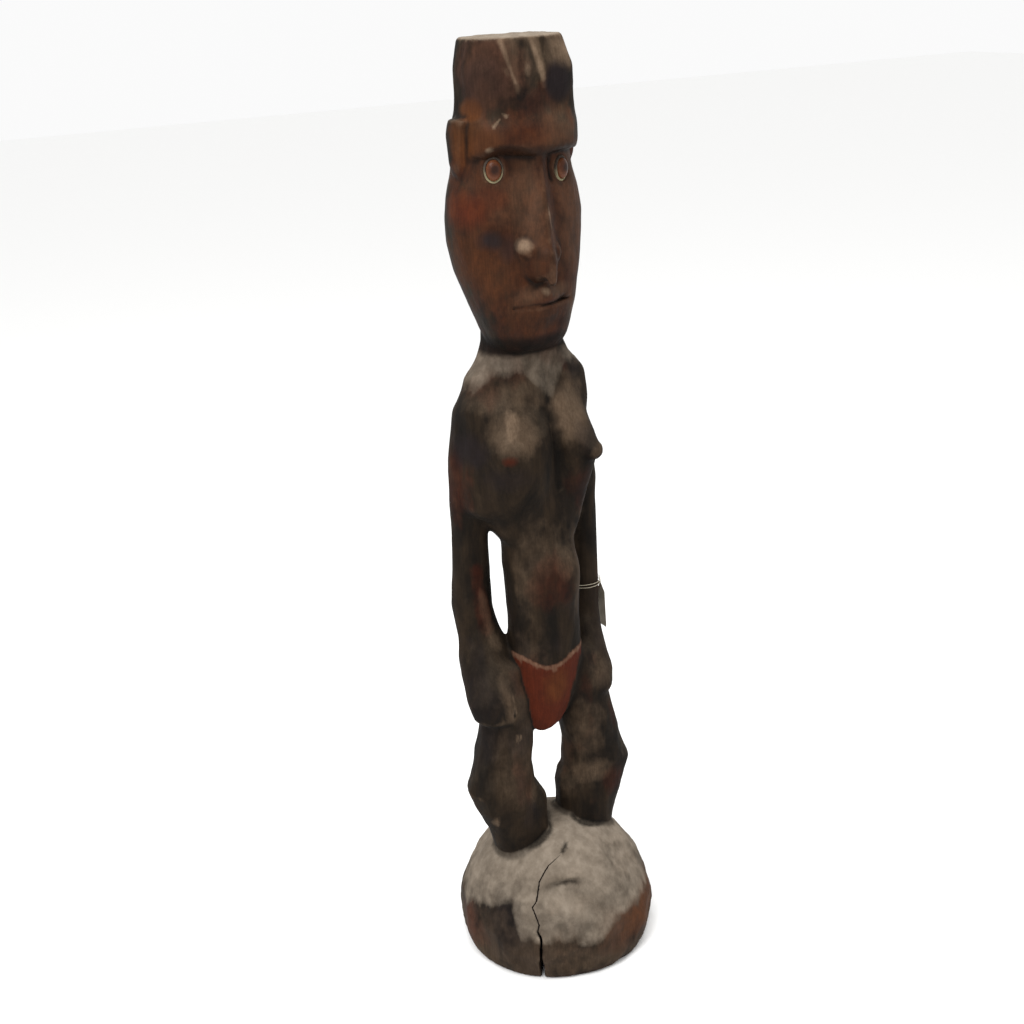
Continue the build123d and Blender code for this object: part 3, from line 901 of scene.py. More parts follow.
P = Pigment
MARKS: tuple[Patch | Stroke, ...] = (
    # the face: red earth over brown, glossy from handling, a sooty smudge and ochre on the right cheek,
    # painted highlights on the nose, lips and chin, and painted shade in the mouth's slit
    Patch(P.OXIDE, (0, -30, 1060), (110, 90, 165), 0.24, 0.15),
    Patch(P.OCHRE, (0, -30, 1080), (110, 90, 150), 0.26, 0.3),
    Patch(P.OXIDE, (-82, -14, 1094), (24, 40, 24), 0.95, 0.7),
    Patch(P.OXIDE, (-60, -28, 1108), (22, 30, 16), 0.6, 0.6),
    Patch(P.OXIDE, (-8, -44, 1184), (48, 30, 20), 0.42, 0.7),
    Patch(P.OXIDE, (-20, -40, 940), (60, 40, 30), 0.22, 0.7),
    Patch(P.OXIDE, (2, -62, 975), (46, 26, 7), 0.5, 0.5),
    Patch(P.OCHRE, (-78, -12, 1030), (34, 50, 40), 0.45, 0.7),
    Patch(P.OCHRE, (-56, -24, 1000), (26, 40, 22), 0.4, 0.7),
    Patch(P.OCHRE, (-70, -20, 1180), (26, 40, 26), 0.65, 0.5),
    Patch(P.OCHRE, (-73, -6, 1214), (10, 26, 14), 1.0, 0.4),
    Patch(P.BARE, (-72, -10, 1214), (9, 26, 12), 0.35, 0.5),
    Patch(P.OCHRE, (-88, -20, 1168), (14, 34, 42), 0.75, 0.3),
    Patch(P.OXIDE, (-88, -10, 1150), (12, 20, 24), 0.6, 0.6),
    Patch(P.OXIDE, (84, 0, 1170), (12, 40, 40), 0.7, 0.4),
    Patch(P.SOOT, (-62, -28, 1058), (15, 34, 12), 0.85, 0.6, -20),
    Patch(P.SOOT, (-44, -34, 1048), (12, 26, 16), 0.5, 0.7),
    # painted highlight on the lit right plane of the nose
    Patch(P.BARE, (-16, -40, 1110), (22, 30, 60), 0.45, 0.6),
    Patch(P.BARE, (-44, -34, 1100), (30, 30, 30), 0.22, 0.7),
    Patch(P.BARE, (60, -20, 1080), (28, 40, 70), 0.35, 0.6),
    Patch(P.BARE, (36, -40, 1190), (34, 30, 26), 0.45, 0.6),
    # painted highlights on the nose's right wing, partly worn paleness, and on the upper lip
    Patch(P.WORN, (-26, -46, 1050), (8, 10, 8), 0.8, 0.9, 30),
    Patch(P.WORN, (2, -54, 989), (7, 12, 6), 0.75, 0.7, -30),
    # painted shade in the mouth's slit
    Stroke(P.CAVITY, (-24, -48, 969), (32, -38, 971), 1.5, 2.0, 0.75, 0.6),
    # painted light on the lit planes of the upper lip and of the chin's left side
    Patch(P.BARE, (24, -40, 986), (20, 26, 9), 0.7, 0.6),
    Patch(P.BARE, (-18, -46, 985), (22, 24, 12), 0.55, 0.7),
    Patch(P.BARE, (56, -18, 960), (22, 26, 24), 0.45, 0.7),
    # painted highlight along the nose's ridge
    Stroke(P.WORN, (12, -46, 1120), (8, -52, 1040), 1.6, 2.4, 0.5, 0.8),
    Stroke(P.WORN, (-48, -36, 1214), (-38, -38, 1208), 1.4, 2.2, 0.8, 0.8),
    Stroke(P.WORN, (-46, -36, 1205), (-54, -34, 1196), 1.2, 1.8, 0.6, 0.8),
    Patch(P.WORN, (-61, -34, 1168), (4, 6, 3), 0.8, 0.6),
    # the crown: sooty left face, flutes struck down to the pale wood, black at its right
    Patch(P.OXIDE, (-50, -20, 1258), (48, 46, 42), 0.30, 0.4),
    Patch(P.BARE, (-46, -24, 1262), (48, 46, 40), 0.24, 0.4),
    Patch(P.SOOT, (-62, -16, 1244), (34, 40, 26), 0.38, 0.6),
    Patch(P.SOOT, (-58, -26, 1222), (34, 34, 12), 0.25, 0.6),
    Patch(P.SOOT, (38, -40, 1243), (20, 30, 24), 1.0, 0.4),
    Patch(P.SOOT, (4, -38, 1222), (30, 26, 16), 0.35, 0.7),
    Stroke(P.BARE, (-30, -34, 1300), (-22, -42, 1236), 14, 3.5, 0.7, 0.6),
    Stroke(P.WORN, (-40, -32, 1300), (-24, -40, 1246), 3.0, 2.4, 0.42, 0.9),
    Stroke(P.BARE, (2, -36, 1300), (16, -42, 1240), 8, 3.5, 0.75, 0.6),
    Stroke(P.WORN, (0, -36, 1300), (14, -42, 1248), 3.0, 2.6, 0.42, 0.9),
    Patch(P.BARE, (44, -28, 1280), (22, 34, 24), 0.85, 0.5),
    Patch(P.WORN, (50, -24, 1276), (12, 22, 14), 0.4, 0.7),
    Patch(P.BARE, (-4, -36, 1262), (10, 20, 30), 0.3, 0.6),
    # chest and breasts, with painted highlights on the breasts' lit planes and painted shade under and beside
    # the right breast
    # painted highlight on the lit plane of the right breast, with a streak up from the nipple
    Patch(P.BARE, (-53, -42, 806), (30, 30, 28), 0.75, 0.6),
    Stroke(P.WORN, (-60, -46, 786), (-50, -36, 826), 4.5, 9, 0.4, 0.8),
    Patch(P.BARE, (-40, -20, 846), (46, 40, 24), 0.35, 0.6),
    # painted highlight on the lit plane of the left breast
    Patch(P.BARE, (42, -34, 818), (28, 40, 40), 0.85, 0.5, -12),
    Patch(P.OXIDE, (-64, -50, 773), (8, 12, 6), 0.8, 0.7),
    # painted shade under the right breast and between it and the right arm
    Patch(P.SOOT, (-64, -36, 746), (34, 30, 16), 0.5, 0.7),
    Patch(P.SOOT, (-96, -4, 780), (18, 40, 22), 0.85, 0.5),
    Patch(P.OXIDE, (-113, 30, 730), (12, 30, 46), 0.34, 0.7),
    # belly, with painted highlights on its dome and its left edge
    Patch(P.OXIDE, (-8, -50, 582), (28, 26, 34), 0.3, 0.9),
    # painted highlights on the belly's dome and its left edge
    Patch(P.BARE, (16, -46, 612), (14, 24, 22), 0.45, 0.6),
    Patch(P.BARE, (36, -40, 580), (8, 24, 46), 0.35, 0.7),
    # arms and hands
    Stroke(P.OXIDE, (-92, 16, 600), (-84, 14, 512), 8, 10, 0.34, 0.9),
    Stroke(P.BARE, (-86, 12, 560), (-76, 4, 486), 6, 8, 0.5, 0.7),
    # painted highlight along the right hand's inner edge
    Stroke(P.BARE, (-84, -26, 450), (-76, -38, 392), 7, 8, 0.6, 0.8),
    Stroke(P.WORN, (-72, -24, 440), (-70, -38, 398), 2.2, 2.6, 0.42, 0.9),
    Patch(P.SOOT, (-112, -20, 430), (26, 40, 36), 0.35, 0.6),
    Patch(P.BARE, (78, -36, 420), (20, 30, 30), 0.4, 0.6),
    # apron rim, chips and rubbed places on the legs
    # painted shade on the right thigh under the right hand, beside the apron's lower rim
    Patch(P.SOOT, (-62, -30, 352), (30, 50, 22), 0.3, 0.8),
    Patch(P.WORN, (-66, -38, 357), (3.5, 6, 4), 0.9, 0.6),
    Patch(P.WORN, (-104, -24, 226), (4, 10, 9), 0.6, 0.7),
    Patch(P.BARE, (-44, -34, 262), (9, 24, 14), 0.5, 0.7, -30),
    Patch(P.BARE, (48, -34, 268), (34, 24, 15), 0.5, 0.7, 6),
    Patch(P.OXIDE, (84, -34, 246), (16, 26, 24), 0.3, 0.8),
    Patch(P.BARE, (50, -30, 330), (26, 30, 44), 0.3, 0.6),
    Patch(P.BARE, (-70, -30, 310), (34, 40, 60), 0.26, 0.6),
    # the base's side: greyish at the front right, red-brown at the front left
    Patch(P.BARE, (0, 0, 30), (180, 180, 62), 0.45, 0.3),
    Patch(P.SOOT, (-120, -70, 72), (40, 40, 44), 0.35, 0.6),
    Patch(P.SOOT, (-110, -100, 34), (40, 40, 30), 0.25, 0.7),
    Patch(P.OXIDE, (60, -130, 56), (70, 60, 34), 0.3, 0.6),
    Patch(P.OCHRE, (100, -100, 60), (60, 60, 34), 0.7, 0.6),
    Patch(P.BARE, (60, -120, 66), (80, 60, 30), 0.6, 0.6),
    Patch(P.OXIDE, (-144, 10, 50), (20, 40, 30), 0.45, 0.6),
    Stroke(P.CAVITY, (-22, -72, 173), (-14, -66, 180), 2.6, 3.4, 0.8, 0.5),
)


@dataclass
class CarvedLog:
    """The whole carving: its members, the marks of the adze and what lies on its skin.

    Attributes:
        pitch: the distance between clay samples in millimetres.
        most_triangles: how many triangles the finished mesh may have.
        chin: the two heights between which the body's adze marks give way to the smoother face.
        crown_foot: the heights between which the face gives way to the hewn crown.
        thighs: the heights between which the trunk gives way to the more roughly hewn legs, from the top.
        dome: the heights between which the legs give way to the base, from the top.
        mottle: how much of each pigment lies in broad clouds all over the log, with the clouds' own number.
        yoke_x: places across the shoulders.
        yoke_front: the height above which dust lies at each of those places.
        yoke_back: the same height anywhere on the back.
    """

    pitch: float = 2.3
    most_triangles: int = 192_000
    base: Base = field(default_factory=Base)
    legs: Legs = field(default_factory=Legs)
    trunk: Trunk = field(default_factory=Trunk)
    arms: Arms = field(default_factory=Arms)
    head: Head = field(default_factory=Head)
    chin: tuple[float, float] = (905.0, 925.0)
    crown_foot: tuple[float, float] = (1205.0, 1225.0)
    thighs: tuple[float, float] = (420.0, 360.0)
    dome: tuple[float, float] = (205.0, 160.0)
    mottle: tuple[tuple[Pigment, int, float], ...] = (
        (P.BARE, 401, 0.20), (P.OXIDE, 431, 0.20), (P.SOOT, 461, 0.34))
    yoke_x: tuple[float, ...] = (-130, -95, -78, -58, -30, 0, 18, 34, 60, 90)
    yoke_front: tuple[float, ...] = (862, 856, 868, 882, 878, 858, 838, 868, 884, 866)
    yoke_back: float = 868.0

    def build(self) -> bpy.types.Object:
        """Shapes, hews, thins and paints the log.

        Returns:
            The finished carving.
        """
        clay = Clay((-156, -156, -7), (156, 156, 1308), self.pitch)
        for member in (self.base, self.legs, self.trunk, self.arms, self.head):
            member.shape(clay)
            LOG.info("shaped %s", type(member).__name__)
        clay.field = clay.relaxed(clay.field, 1)
        self.base.split(clay)
        clay.cut(Block((0, 0, -20), (200, 200, 20), edge=0.5), 0.5)
        points, faces = clay.skin()
        points = self.hewn(points, clay.normals(points))
        log = self.thinned(points, faces)
        self.paint(log, clay)
        return log

    def hewn(self, points: Array, outward: Array) -> Array:
        """Moves the skin in and out by the marks of the adze, the grain and small knocks.

        Args:
            points: the skin's points.
            outward: the skin's direction at each of them.

        Returns:
            The moved points.
        """
        x, y, z = points.T
        spans = (self.chin, self.thighs, self.dome, self.crown_foot)
        head, legs, low, crown = (ramp(*span, z) for span in spans)
        wrist = ramp(60, 68, x) * ramp(490, 512, z) * ramp(668, 646, z)
        small, _ = tool_bites(points, (24, 24, 46), 11)
        broad, _ = tool_bites(points + 9, (46, 46, 70), 23)
        strength = (0.9 * (1 - head) + 0.35 * head) * (1 + 0.7 * legs * (1 - low)) * (1 - 0.4 * low)
        strength = np.maximum(strength, 0.9 * crown)
        hollows = 1.9 * (np.minimum(small, 1) ** 2 - 0.42) + 0.8 * (np.minimum(broad, 1) ** 2 - 0.4)
        move = strength * hollows
        move += 0.45 * lumps(points, (16, 16, 40), 5)
        move += low * 1.6 * lumps(points, (34, 34, 26), 41, 4)
        move += 0.22 * lumps(points, (3.5, 3.5, 40), 71, 2) * (1 - 0.5 * head)
        move *= (1 - 0.9 * wrist) * ramp(0.5, 3, z)
        return points + outward * move[:, None]

    def thinned(self, points: Array, faces: Array) -> bpy.types.Object:
        """Makes the mesh in metres and thins it, keeping most of its triangles on the head.

        Args:
            points: the skin's points in millimetres.
            faces: its four-sided faces.

        Returns:
            The log as a piece.
        """
        mesh = bpy.data.meshes.new("carved_log")
        mesh.from_pydata(points * MM, [], faces)
        mesh.validate()
        log = bpy.data.objects.new("carved_log", mesh)
        bpy.context.scene.collection.objects.link(log)
        keep = log.vertex_groups.new(name="plain_wood")
        for low, high, weight in ((-50, 910, 1.0), (910, 1205, 0.25), (1205, 1400, 0.7)):
            chosen = np.nonzero((points[:, 2] >= low) & (points[:, 2] < high))[0]
            keep.add(chosen.tolist(), weight, "REPLACE")
        ratio = min(1.0, self.most_triangles / (2 * len(faces)))
        thin = log.modifiers.new("thin", "DECIMATE")
        thin.ratio = ratio
        thin.vertex_group = keep.name
        thin.vertex_group_factor = 1.0
        thin.use_collapse_triangulate = True
        plain = bpy.data.meshes.new_from_object(log.evaluated_get(bpy.context.evaluated_depsgraph_get()))
        plain.name = "carved_log"
        log.modifiers.clear()
        log.data = plain
        log.vertex_groups.clear()
        plain.shade_smooth()
        LOG.info("thinned %d faces to %d", 2 * len(faces), len(plain.polygons))
        return log

    def paint(self, log: bpy.types.Object, clay: Clay) -> None:
        """Stores what lies on each part of the skin, with the painted light and shade, as the masks that the
        wood finish reads.

        Args:
            log: the carving.
            clay: what it was cut from.
        """
        mesh = log.data
        count = len(mesh.vertices)
        points, outward = np.empty(count * 3, np.float32), np.empty(count * 3, np.float32)
        mesh.vertices.foreach_get("co", points)
        mesh.vertex_normals.foreach_get("vector", outward)
        masks = self.covers(points.reshape(-1, 3) / MM, outward.reshape(-1, 3), clay)
        for name in ("pigment", "surface", "tone"):
            values = np.ones((count, 4), np.float32)
            for pigment, mask in masks.items():
                if pigment.value[0] == name:
                    values[:, pigment.value[1]] = np.clip(mask, 0, 1)
            mesh.attributes.new(name, "FLOAT_COLOR", "POINT").data.foreach_set("color", values.ravel())

    def covers(self, points: Array, outward: Array, clay: Clay) -> dict[Pigment, Array]:
        """Works out what lies on the skin, and where light and shade are painted, from the marks, the skin's
        shape and which way it faces.

        Args:
            points: the skin's points in millimetres.
            outward: the skin's direction at each of them.
            clay: what the log was cut from.

        Returns:
            How much of each pigment covers each point.
        """
        z, up = points[:, 2], outward[:, 2]
        masks = {pigment: np.zeros(len(points), np.float32) for pigment in Pigment}
        ragged, fine = lumps(points, (22, 22, 30), 301, 4), lumps(points, (9, 9, 14), 77, 3)

        def lay(pigment: Pigment, cover: Array) -> None:
            """Adds to a pigment wherever the new cover is the thicker."""
            masks[pigment] = np.maximum(masks[pigment], cover)

        for mark in MARKS:
            lay(mark.pigment, mark.cover(points, ragged))
        body = ramp(930, 900, z) * ramp(205, 225, z)
        for pigment, seed, share in self.mottle:
            clouds = ramp(0.0, 0.8, lumps(points, (52, 52, 90), seed, 4))
            lay(pigment, share * clouds * (0.35 + 0.65 * body))
        bulge = clay.sample(clay.relaxed(clay.field, 3), points) - clay.sample(clay.field, points)
        rubbed = ramp(0.2, 0.75, bulge + 0.16 * fine + 0.06 * ragged)
        lay(P.WORN, (0.08 + 0.12 * ramp(*self.crown_foot, z)) * rubbed)
        lay(P.BARE, 0.36 * rubbed)
        # painted shade on down-turned faces, and dark grime with painted shade in concave hollows
        shadowed = 0.6 * ramp(-0.1, -0.75, up + 0.2 * ragged) * ramp(120, 190, z)
        lay(P.CAVITY, np.maximum(0.85 * ramp(-0.08, -0.6, bulge + 0.05 * fine), shadowed))
        # painted shadow in a band under the chin
        lay(P.CAVITY, 0.75 * ramp(898, 908, z + 4 * ragged) * ramp(934, 922, z))
        lay(P.BLOOM, 0.42 * ramp(0.05, 0.85, up + 0.22 * ragged) * ramp(1290, 1230, z))
        lay(P.POLISH, ramp(912, 940, z) * ramp(1225, 1195, z))
        lay(P.DUST, self.dust(points, outward, ragged))
        self.redden_apron(masks, points, ragged, fine)
        return masks

    def dust(self, points: Array, outward: Array, ragged: Array) -> Array:
        """How dusty the skin is: on the base, the yoke of the shoulders and the crown's flat top.

        Args:
            points: the skin's points in millimetres.
            outward: the skin's direction at each of them.
            ragged: a wandering number for each point that frays the dust's edge.

        Returns:
            How much dust lies at each point, 0 to 1.
        """
        z, up = points[:, 2], outward[:, 2]
        upturned = 0.45 + 0.5 * ramp(0.1, 0.85, up + 0.25 * ragged)
        base = self.base.dusty(points, ragged) * ramp(208, 190, z) * upturned
        yoke = np.interp(points[:, 0], self.yoke_x, self.yoke_front)
        yoke = np.where(outward[:, 1] > 0.3, self.yoke_back, yoke)
        neck = ramp(-8, 10, z - yoke + 9 * ragged) * ramp(908, 898, z)
        shoulders = neck * (0.24 + 0.30 * ramp(0.0, 0.7, up + 0.2 * ragged))
        top = 0.9 * ramp(1292, 1298, z) * ramp(0.5, 0.9, up)
        return np.maximum(np.maximum(base, shoulders), top)

    def redden_apron(self, masks: dict[Pigment, Array], points: Array, ragged: Array, fine: Array) -> None:
        """Rubs red earth over the front of the apron, leaves its upper rim pale and clears the soot and
        painted shade off it.

        Args:
            masks: how much of each pigment covers each point; it is changed.
            points: the skin's points in millimetres.
            ragged: a broad wandering number for each point.
            fine: a fine wandering number for each point.
        """
        x, y, z = points.T
        on_apron = ramp(1.6, 0.4, self.trunk.apron.distance(x, y, z)) * ramp(34, 10, y)
        under_rim = np.interp(x, *zip(*self.trunk.apron.edge)) - z
        orange = Patch(P.OCHRE, (-8, -45, 424), (20, 30, 26), 1.0, 0.7).cover(points, ragged)
        masks[P.OXIDE] = np.maximum(masks[P.OXIDE], on_apron * ramp(-4, 0, under_rim))
        masks[P.OCHRE] = np.maximum(masks[P.OCHRE] * (1 - on_apron), 0.6 * on_apron * orange)
        masks[P.SOOT] *= 1 - on_apron
        masks[P.CAVITY] *= 1 - 0.8 * on_apron
        pale_rim = 0.34 * on_apron * ramp(7, 3, under_rim + 1.5 * fine)
        masks[P.WORN] = np.maximum(masks[P.WORN] * (1 - on_apron), pale_rim)


# ------------------------------------------------------------------- finishes
@dataclass(frozen=True)
class Finish:
    """What every finish has: its name, and a tree to build on."""

    name: str

    def start(self) -> tuple[bpy.types.Material, Tree, bpy.types.Node, Socket]:
        """Makes an empty material.

        Returns:
            The material, its node tree, its shader and the coordinates that its patterns follow.
        """
        material = bpy.data.materials.new(self.name)
        material.use_nodes = True
        tree = material.node_tree
        tree.nodes.clear()
        shader = add_node(tree, "ShaderNodeBsdfPrincipled")
        add_node(tree, "ShaderNodeOutputMaterial", {"Surface": shader.outputs["BSDF"]})
        return material, tree, shader, add_node(tree, "ShaderNodeTexCoord").outputs["Object"]


@dataclass(frozen=True)
class HewnWood(Finish):
    """Old adzed hardwood: dark from smoke and handling, rubbed with earth pigment, dusty where dust can lie.

    The grain runs up the log. The face was polished by hands, so it shines more than the hewn body. Painted
    highlights and painted shade are mixed in with its colours.
    """

    name: str = "hewn_smoked_hardwood"
    heartwood: str = "#120e0a"
    brown: str = "#2b2117"
    # bare pale wood, and painted light on lit planes
    bare: str = "#5b4b3c"
    oxide: str = "#481c0d"
    ochre: str = "#512e15"
    # soot, and painted shade under the right breast, beside the right arm and under the right hand
    soot: str = "#1e1819"
    bloom: str = "#453b30"
    # worn paleness, and painted highlights
    worn: str = "#806c59"
    dust: str = "#82776a"
    # dark grime and painted shade in hollows, slits and under the chin; also the dark line of the drying
    # split
    cavity: str = "#080604"
    grain_mm: float = 2.2
    grain_run_mm: float = 60.0
    split_turn: float = -35.0
    split_path: tuple[tuple[float, float], ...] = ()

    def make(self) -> bpy.types.Material:
        """Builds the finish from the painted masks and patterns on the log's own coordinates.

        Returns:
            The finish.
        """
        material, tree, shader, place = self.start()
        grain = self.noise(tree, place, 1 / (self.grain_mm * MM), 5.0, 0.6, self.grain_mm / self.grain_run_mm)
        blotch = self.noise(tree, place, 24.0, 6.0, 0.62, 0.4, 0.5)
        patch = self.noise(tree, place, 70.0, 6.0, 0.62, 0.7)
        speck = self.noise(tree, place, 320.0, 4.0, 0.65)
        colour = self.mixed(tree, self.ramped(tree, blotch, 0.34, 0.68), linear(self.heartwood),
                            linear(self.brown))
        masks = {}
        for name in ("pigment", "surface", "tone"):
            read = add_node(tree, "ShaderNodeAttribute", attribute_name=name)
            split = add_node(tree, "ShaderNodeSeparateColor", {"Color": read.outputs["Color"]})
            for channel in range(3):
                masks[(name, channel)] = split.outputs[channel]
        layers = ((P.BARE, self.bare, patch, 0.35), (P.BLOOM, self.bloom, patch, 0.22),
                  (P.OXIDE, self.oxide, patch, 0.28), (P.OCHRE, self.ochre, patch, 0.30),
                  (P.SOOT, self.soot, patch, 0.30), (P.DUST, self.dust, patch, 0.22),
                  (P.WORN, self.worn, patch, 0.35), (P.CAVITY, self.cavity, speck, 0.12))
        covers = {}
        for pigment, hex_colour, noise, wander in layers:
            covers[pigment] = self.broken(tree, masks[pigment.value], noise, wander)
            colour = self.mixed(tree, covers[pigment], colour, linear(hex_colour))
        clear = reckon(tree, "MULTIPLY_ADD", covers[P.DUST], -0.85, 1.0, clamp=True)
        grain = reckon(tree, "MULTIPLY", grain, clear)
        for noise, low, high, deepest, share in ((grain, 0.64, 0.38, 0.84, clear),
                                                 (speck, 0.66, 0.36, 0.92, clear),
                                                 (patch, 0.70, 0.34, 0.80, 1.0)):
            shade = add_node(tree, "ShaderNodeMix", {0: self.ramped(tree, noise, low, high), 6: (1, 1, 1, 1),
                             7: (deepest, deepest * 0.985, deepest * 0.97, 1)}, data_type="RGBA").outputs[2]
            colour = add_node(tree, "ShaderNodeMix", {0: share, 6: colour, 7: shade}, data_type="RGBA",
                              blend_type="MULTIPLY").outputs[2]
        cracks = self.drying_cracks(tree, place)
        colour = self.mixed(tree, cracks, colour, linear(self.cavity))
        tree.links.new(colour, shader.inputs["Base Color"])
        rough = reckon(tree, "MULTIPLY_ADD", masks[P.POLISH.value], -0.20, 0.70)
        rough = reckon(tree, "MULTIPLY_ADD", covers[P.DUST], 0.24, rough)
        rough = reckon(tree, "MULTIPLY_ADD", speck, 0.16, rough, clamp=True)
        tree.links.new(rough, shader.inputs["Roughness"])
        shader.inputs["IOR"].default_value = 1.48
        shader.inputs["Specular IOR Level"].default_value = 0.09
        normal = None
        for height, strength, depth_mm in ((grain, 0.22, 0.7), (patch, 0.35, 2.2), (speck, 0.28, 0.5),
                                           (cracks, -1.0, 1.2)):
            inputs = {"Height": height, "Strength": abs(strength), "Distance": depth_mm * MM}
            if normal is not None:
                inputs["Normal"] = normal
            normal = add_node(tree, "ShaderNodeBump", inputs, invert=strength < 0).outputs[0]
        tree.links.new(normal, shader.inputs["Normal"])
        return material

    @staticmethod
    def noise(tree: Tree, place: Socket, scale: float, detail: float, rough: float, upright: float = 1.0,
              twist: float = 0.0) -> Socket:
        """A cloudy pattern; upright below 1 stretches it up the log.

        Args:
            tree: the finish's node tree.
            place: the log's own coordinates.
            scale: clouds to the metre.
            detail: how many finer layers it has.
            rough: how strong the finer layers are.
            upright: the share of its scale that it has along Z.
            twist: how far the clouds are distorted.

        Returns:
            The pattern, 0 to 1.
        """
        at = add_node(tree, "ShaderNodeMapping", {"Vector": place, "Scale": (1, 1, upright)}).outputs[0]
        return add_node(tree, "ShaderNodeTexNoise",
                        {"Vector": at, "Scale": scale, "Detail": detail, "Roughness": rough,
                        "Distortion": twist}).outputs["Fac"]

    def drying_cracks(self, tree: Tree, place: Socket) -> Socket:
        """The hairline run of the base's split, above where it gapes, and what it measures off it.

        Args:
            tree: the finish's node tree.
            place: the log's own coordinates.

        Returns:
            1 on the crack, 0 off it.
        """
        spin, reach = math.radians(self.split_turn), 0.2
        axes = add_node(tree, "ShaderNodeSeparateXYZ", {0: place}).outputs
        height = reckon(tree, "MULTIPLY", axes[2], 1 / reach, clamp=True)
        path = add_node(tree, "ShaderNodeFloatCurve", {"Value": height})
        curve = path.mapping.curves[0]
        path.mapping.use_clip = False
        spots = [(z * MM / reach, 0.5 + offset / 100) for z, offset in self.split_path]
        curve.points[0].location, curve.points[1].location = spots[0], spots[-1]
        for spot in spots[1:-1]:
            curve.points.new(*spot)
        for point in curve.points:
            point.handle_type = "VECTOR"
        path.mapping.update()
        across = add_node(tree, "ShaderNodeVectorMath", {0: place, 1: (math.cos(spin), math.sin(spin), 0)},
                          operation="DOT_PRODUCT").outputs["Value"]
        ahead = add_node(tree, "ShaderNodeVectorMath", {0: place, 1: (math.sin(spin), -math.cos(spin), 0)},
                         operation="DOT_PRODUCT").outputs["Value"]
        middle = reckon(tree, "MULTIPLY_ADD", path.outputs[0], -0.1, 0.05)
        off = reckon(tree, "ADD", across, middle)
        jitter = self.noise(tree, place, 260.0, 3.0, 0.6)
        off = reckon(tree, "MULTIPLY_ADD", jitter, 0.0030, off)
        off = reckon(tree, "ADD", off, -0.0015)
        off = reckon(tree, "ABSOLUTE", off)
        line = self.ramped(tree, off, 0.0014, 0.0005)
        low = self.ramped(tree, axes[2], 0.176, 0.160)
        front = self.ramped(tree, ahead, 0.03, 0.05)
        line = reckon(tree, "MULTIPLY", line, low)
        return reckon(tree, "MULTIPLY", line, front)

    @staticmethod
    def ramped(tree: Tree, value: Socket, low: float, high: float) -> Socket:
        """Rises smoothly from 0 at low to 1 at high.

        Args:
            tree: the finish's node tree.
            value: the number to read.
            low: where the ramp starts.
            high: where it ends; it may be the smaller.

        Returns:
            The ramp's height.
        """
        return add_node(tree, "ShaderNodeMapRange", {"Value": value, "From Min": low, "From Max": high},
                        interpolation_type="SMOOTHSTEP").outputs[0]

    @staticmethod
    def mixed(tree: Tree, share: Socket, under: Any, over: Any) -> Socket:
        """Lays one colour over another.

        Args:
            tree: the finish's node tree.
            share: how much of the upper colour shows.
            under: the lower colour.
            over: the upper colour.

        Returns:
            The mixed colour.
        """
        return add_node(tree, "ShaderNodeMix", {0: share, 6: under, 7: over}, data_type="RGBA").outputs[2]

    def broken(self, tree: Tree, mask: Socket, noise: Socket,
               wander: float) -> Socket:
        """Breaks a soft mask up, so that the pigment is patchy and ends in flecks, not in a haze.

        Args:
            tree: the finish's node tree.
            mask: the painted mask.
            noise: the pattern that breaks it up.
            wander: how strongly it does.

        Returns:
            The pigment's cover.
        """
        moved = reckon(tree, "ADD", noise, -0.5)
        moved = reckon(tree, "MULTIPLY_ADD", moved, 2 * wander, mask, clamp=True)
        return reckon(tree, "MULTIPLY", moved, self.ramped(tree, mask, 0.0, 0.15))


@dataclass(frozen=True)
class LimePutty(Finish):
    """Burnt-lime putty pressed round the shell: chalky, yellowed, crumbling at its edge."""

    name: str = "yellowed_lime_putty"
    pale: str = "#7d7458"
    # painted shadow of the brow
    brow_shadow: str = "#2c2017"

    def make(self, height: float) -> bpy.types.Material:
        """Builds the chalky finish, with the brow's shadow painted dark on the ring's upper part, and pale
        along the lower lid.

        Args:
            height: the height of the eye's middle in metres.

        Returns:
            The finish for one ring.
        """
        material, tree, shader, place = self.start()
        noise = add_node(tree, "ShaderNodeTexNoise",
                         {"Vector": place, "Scale": 320.0, "Detail": 5.0}).outputs["Fac"]
        up = add_node(tree, "ShaderNodeSeparateXYZ", {0: place}).outputs[2]
        # dark upwards: the brow's painted shadow on the ring
        lower = add_node(tree, "ShaderNodeMapRange",
                         {"Value": up, "From Min": height + 4 * MM, "From Max": height - 12 * MM})
        share = reckon(tree, "ADD", noise, -0.5)
        share = reckon(tree, "MULTIPLY_ADD", share, 0.9, lower.outputs[0], clamp=True)
        mix = add_node(tree, "ShaderNodeMix", {0: share, 6: linear(self.brow_shadow), 7: linear(self.pale)},
                       data_type="RGBA")
        tree.links.new(mix.outputs[2], shader.inputs["Base Color"])
        shader.inputs["Roughness"].default_value = 0.85
        bump = add_node(tree, "ShaderNodeBump", {"Height": noise, "Strength": 0.5, "Distance": 0.0008})
        tree.links.new(bump.outputs[0], shader.inputs["Normal"])
        return material


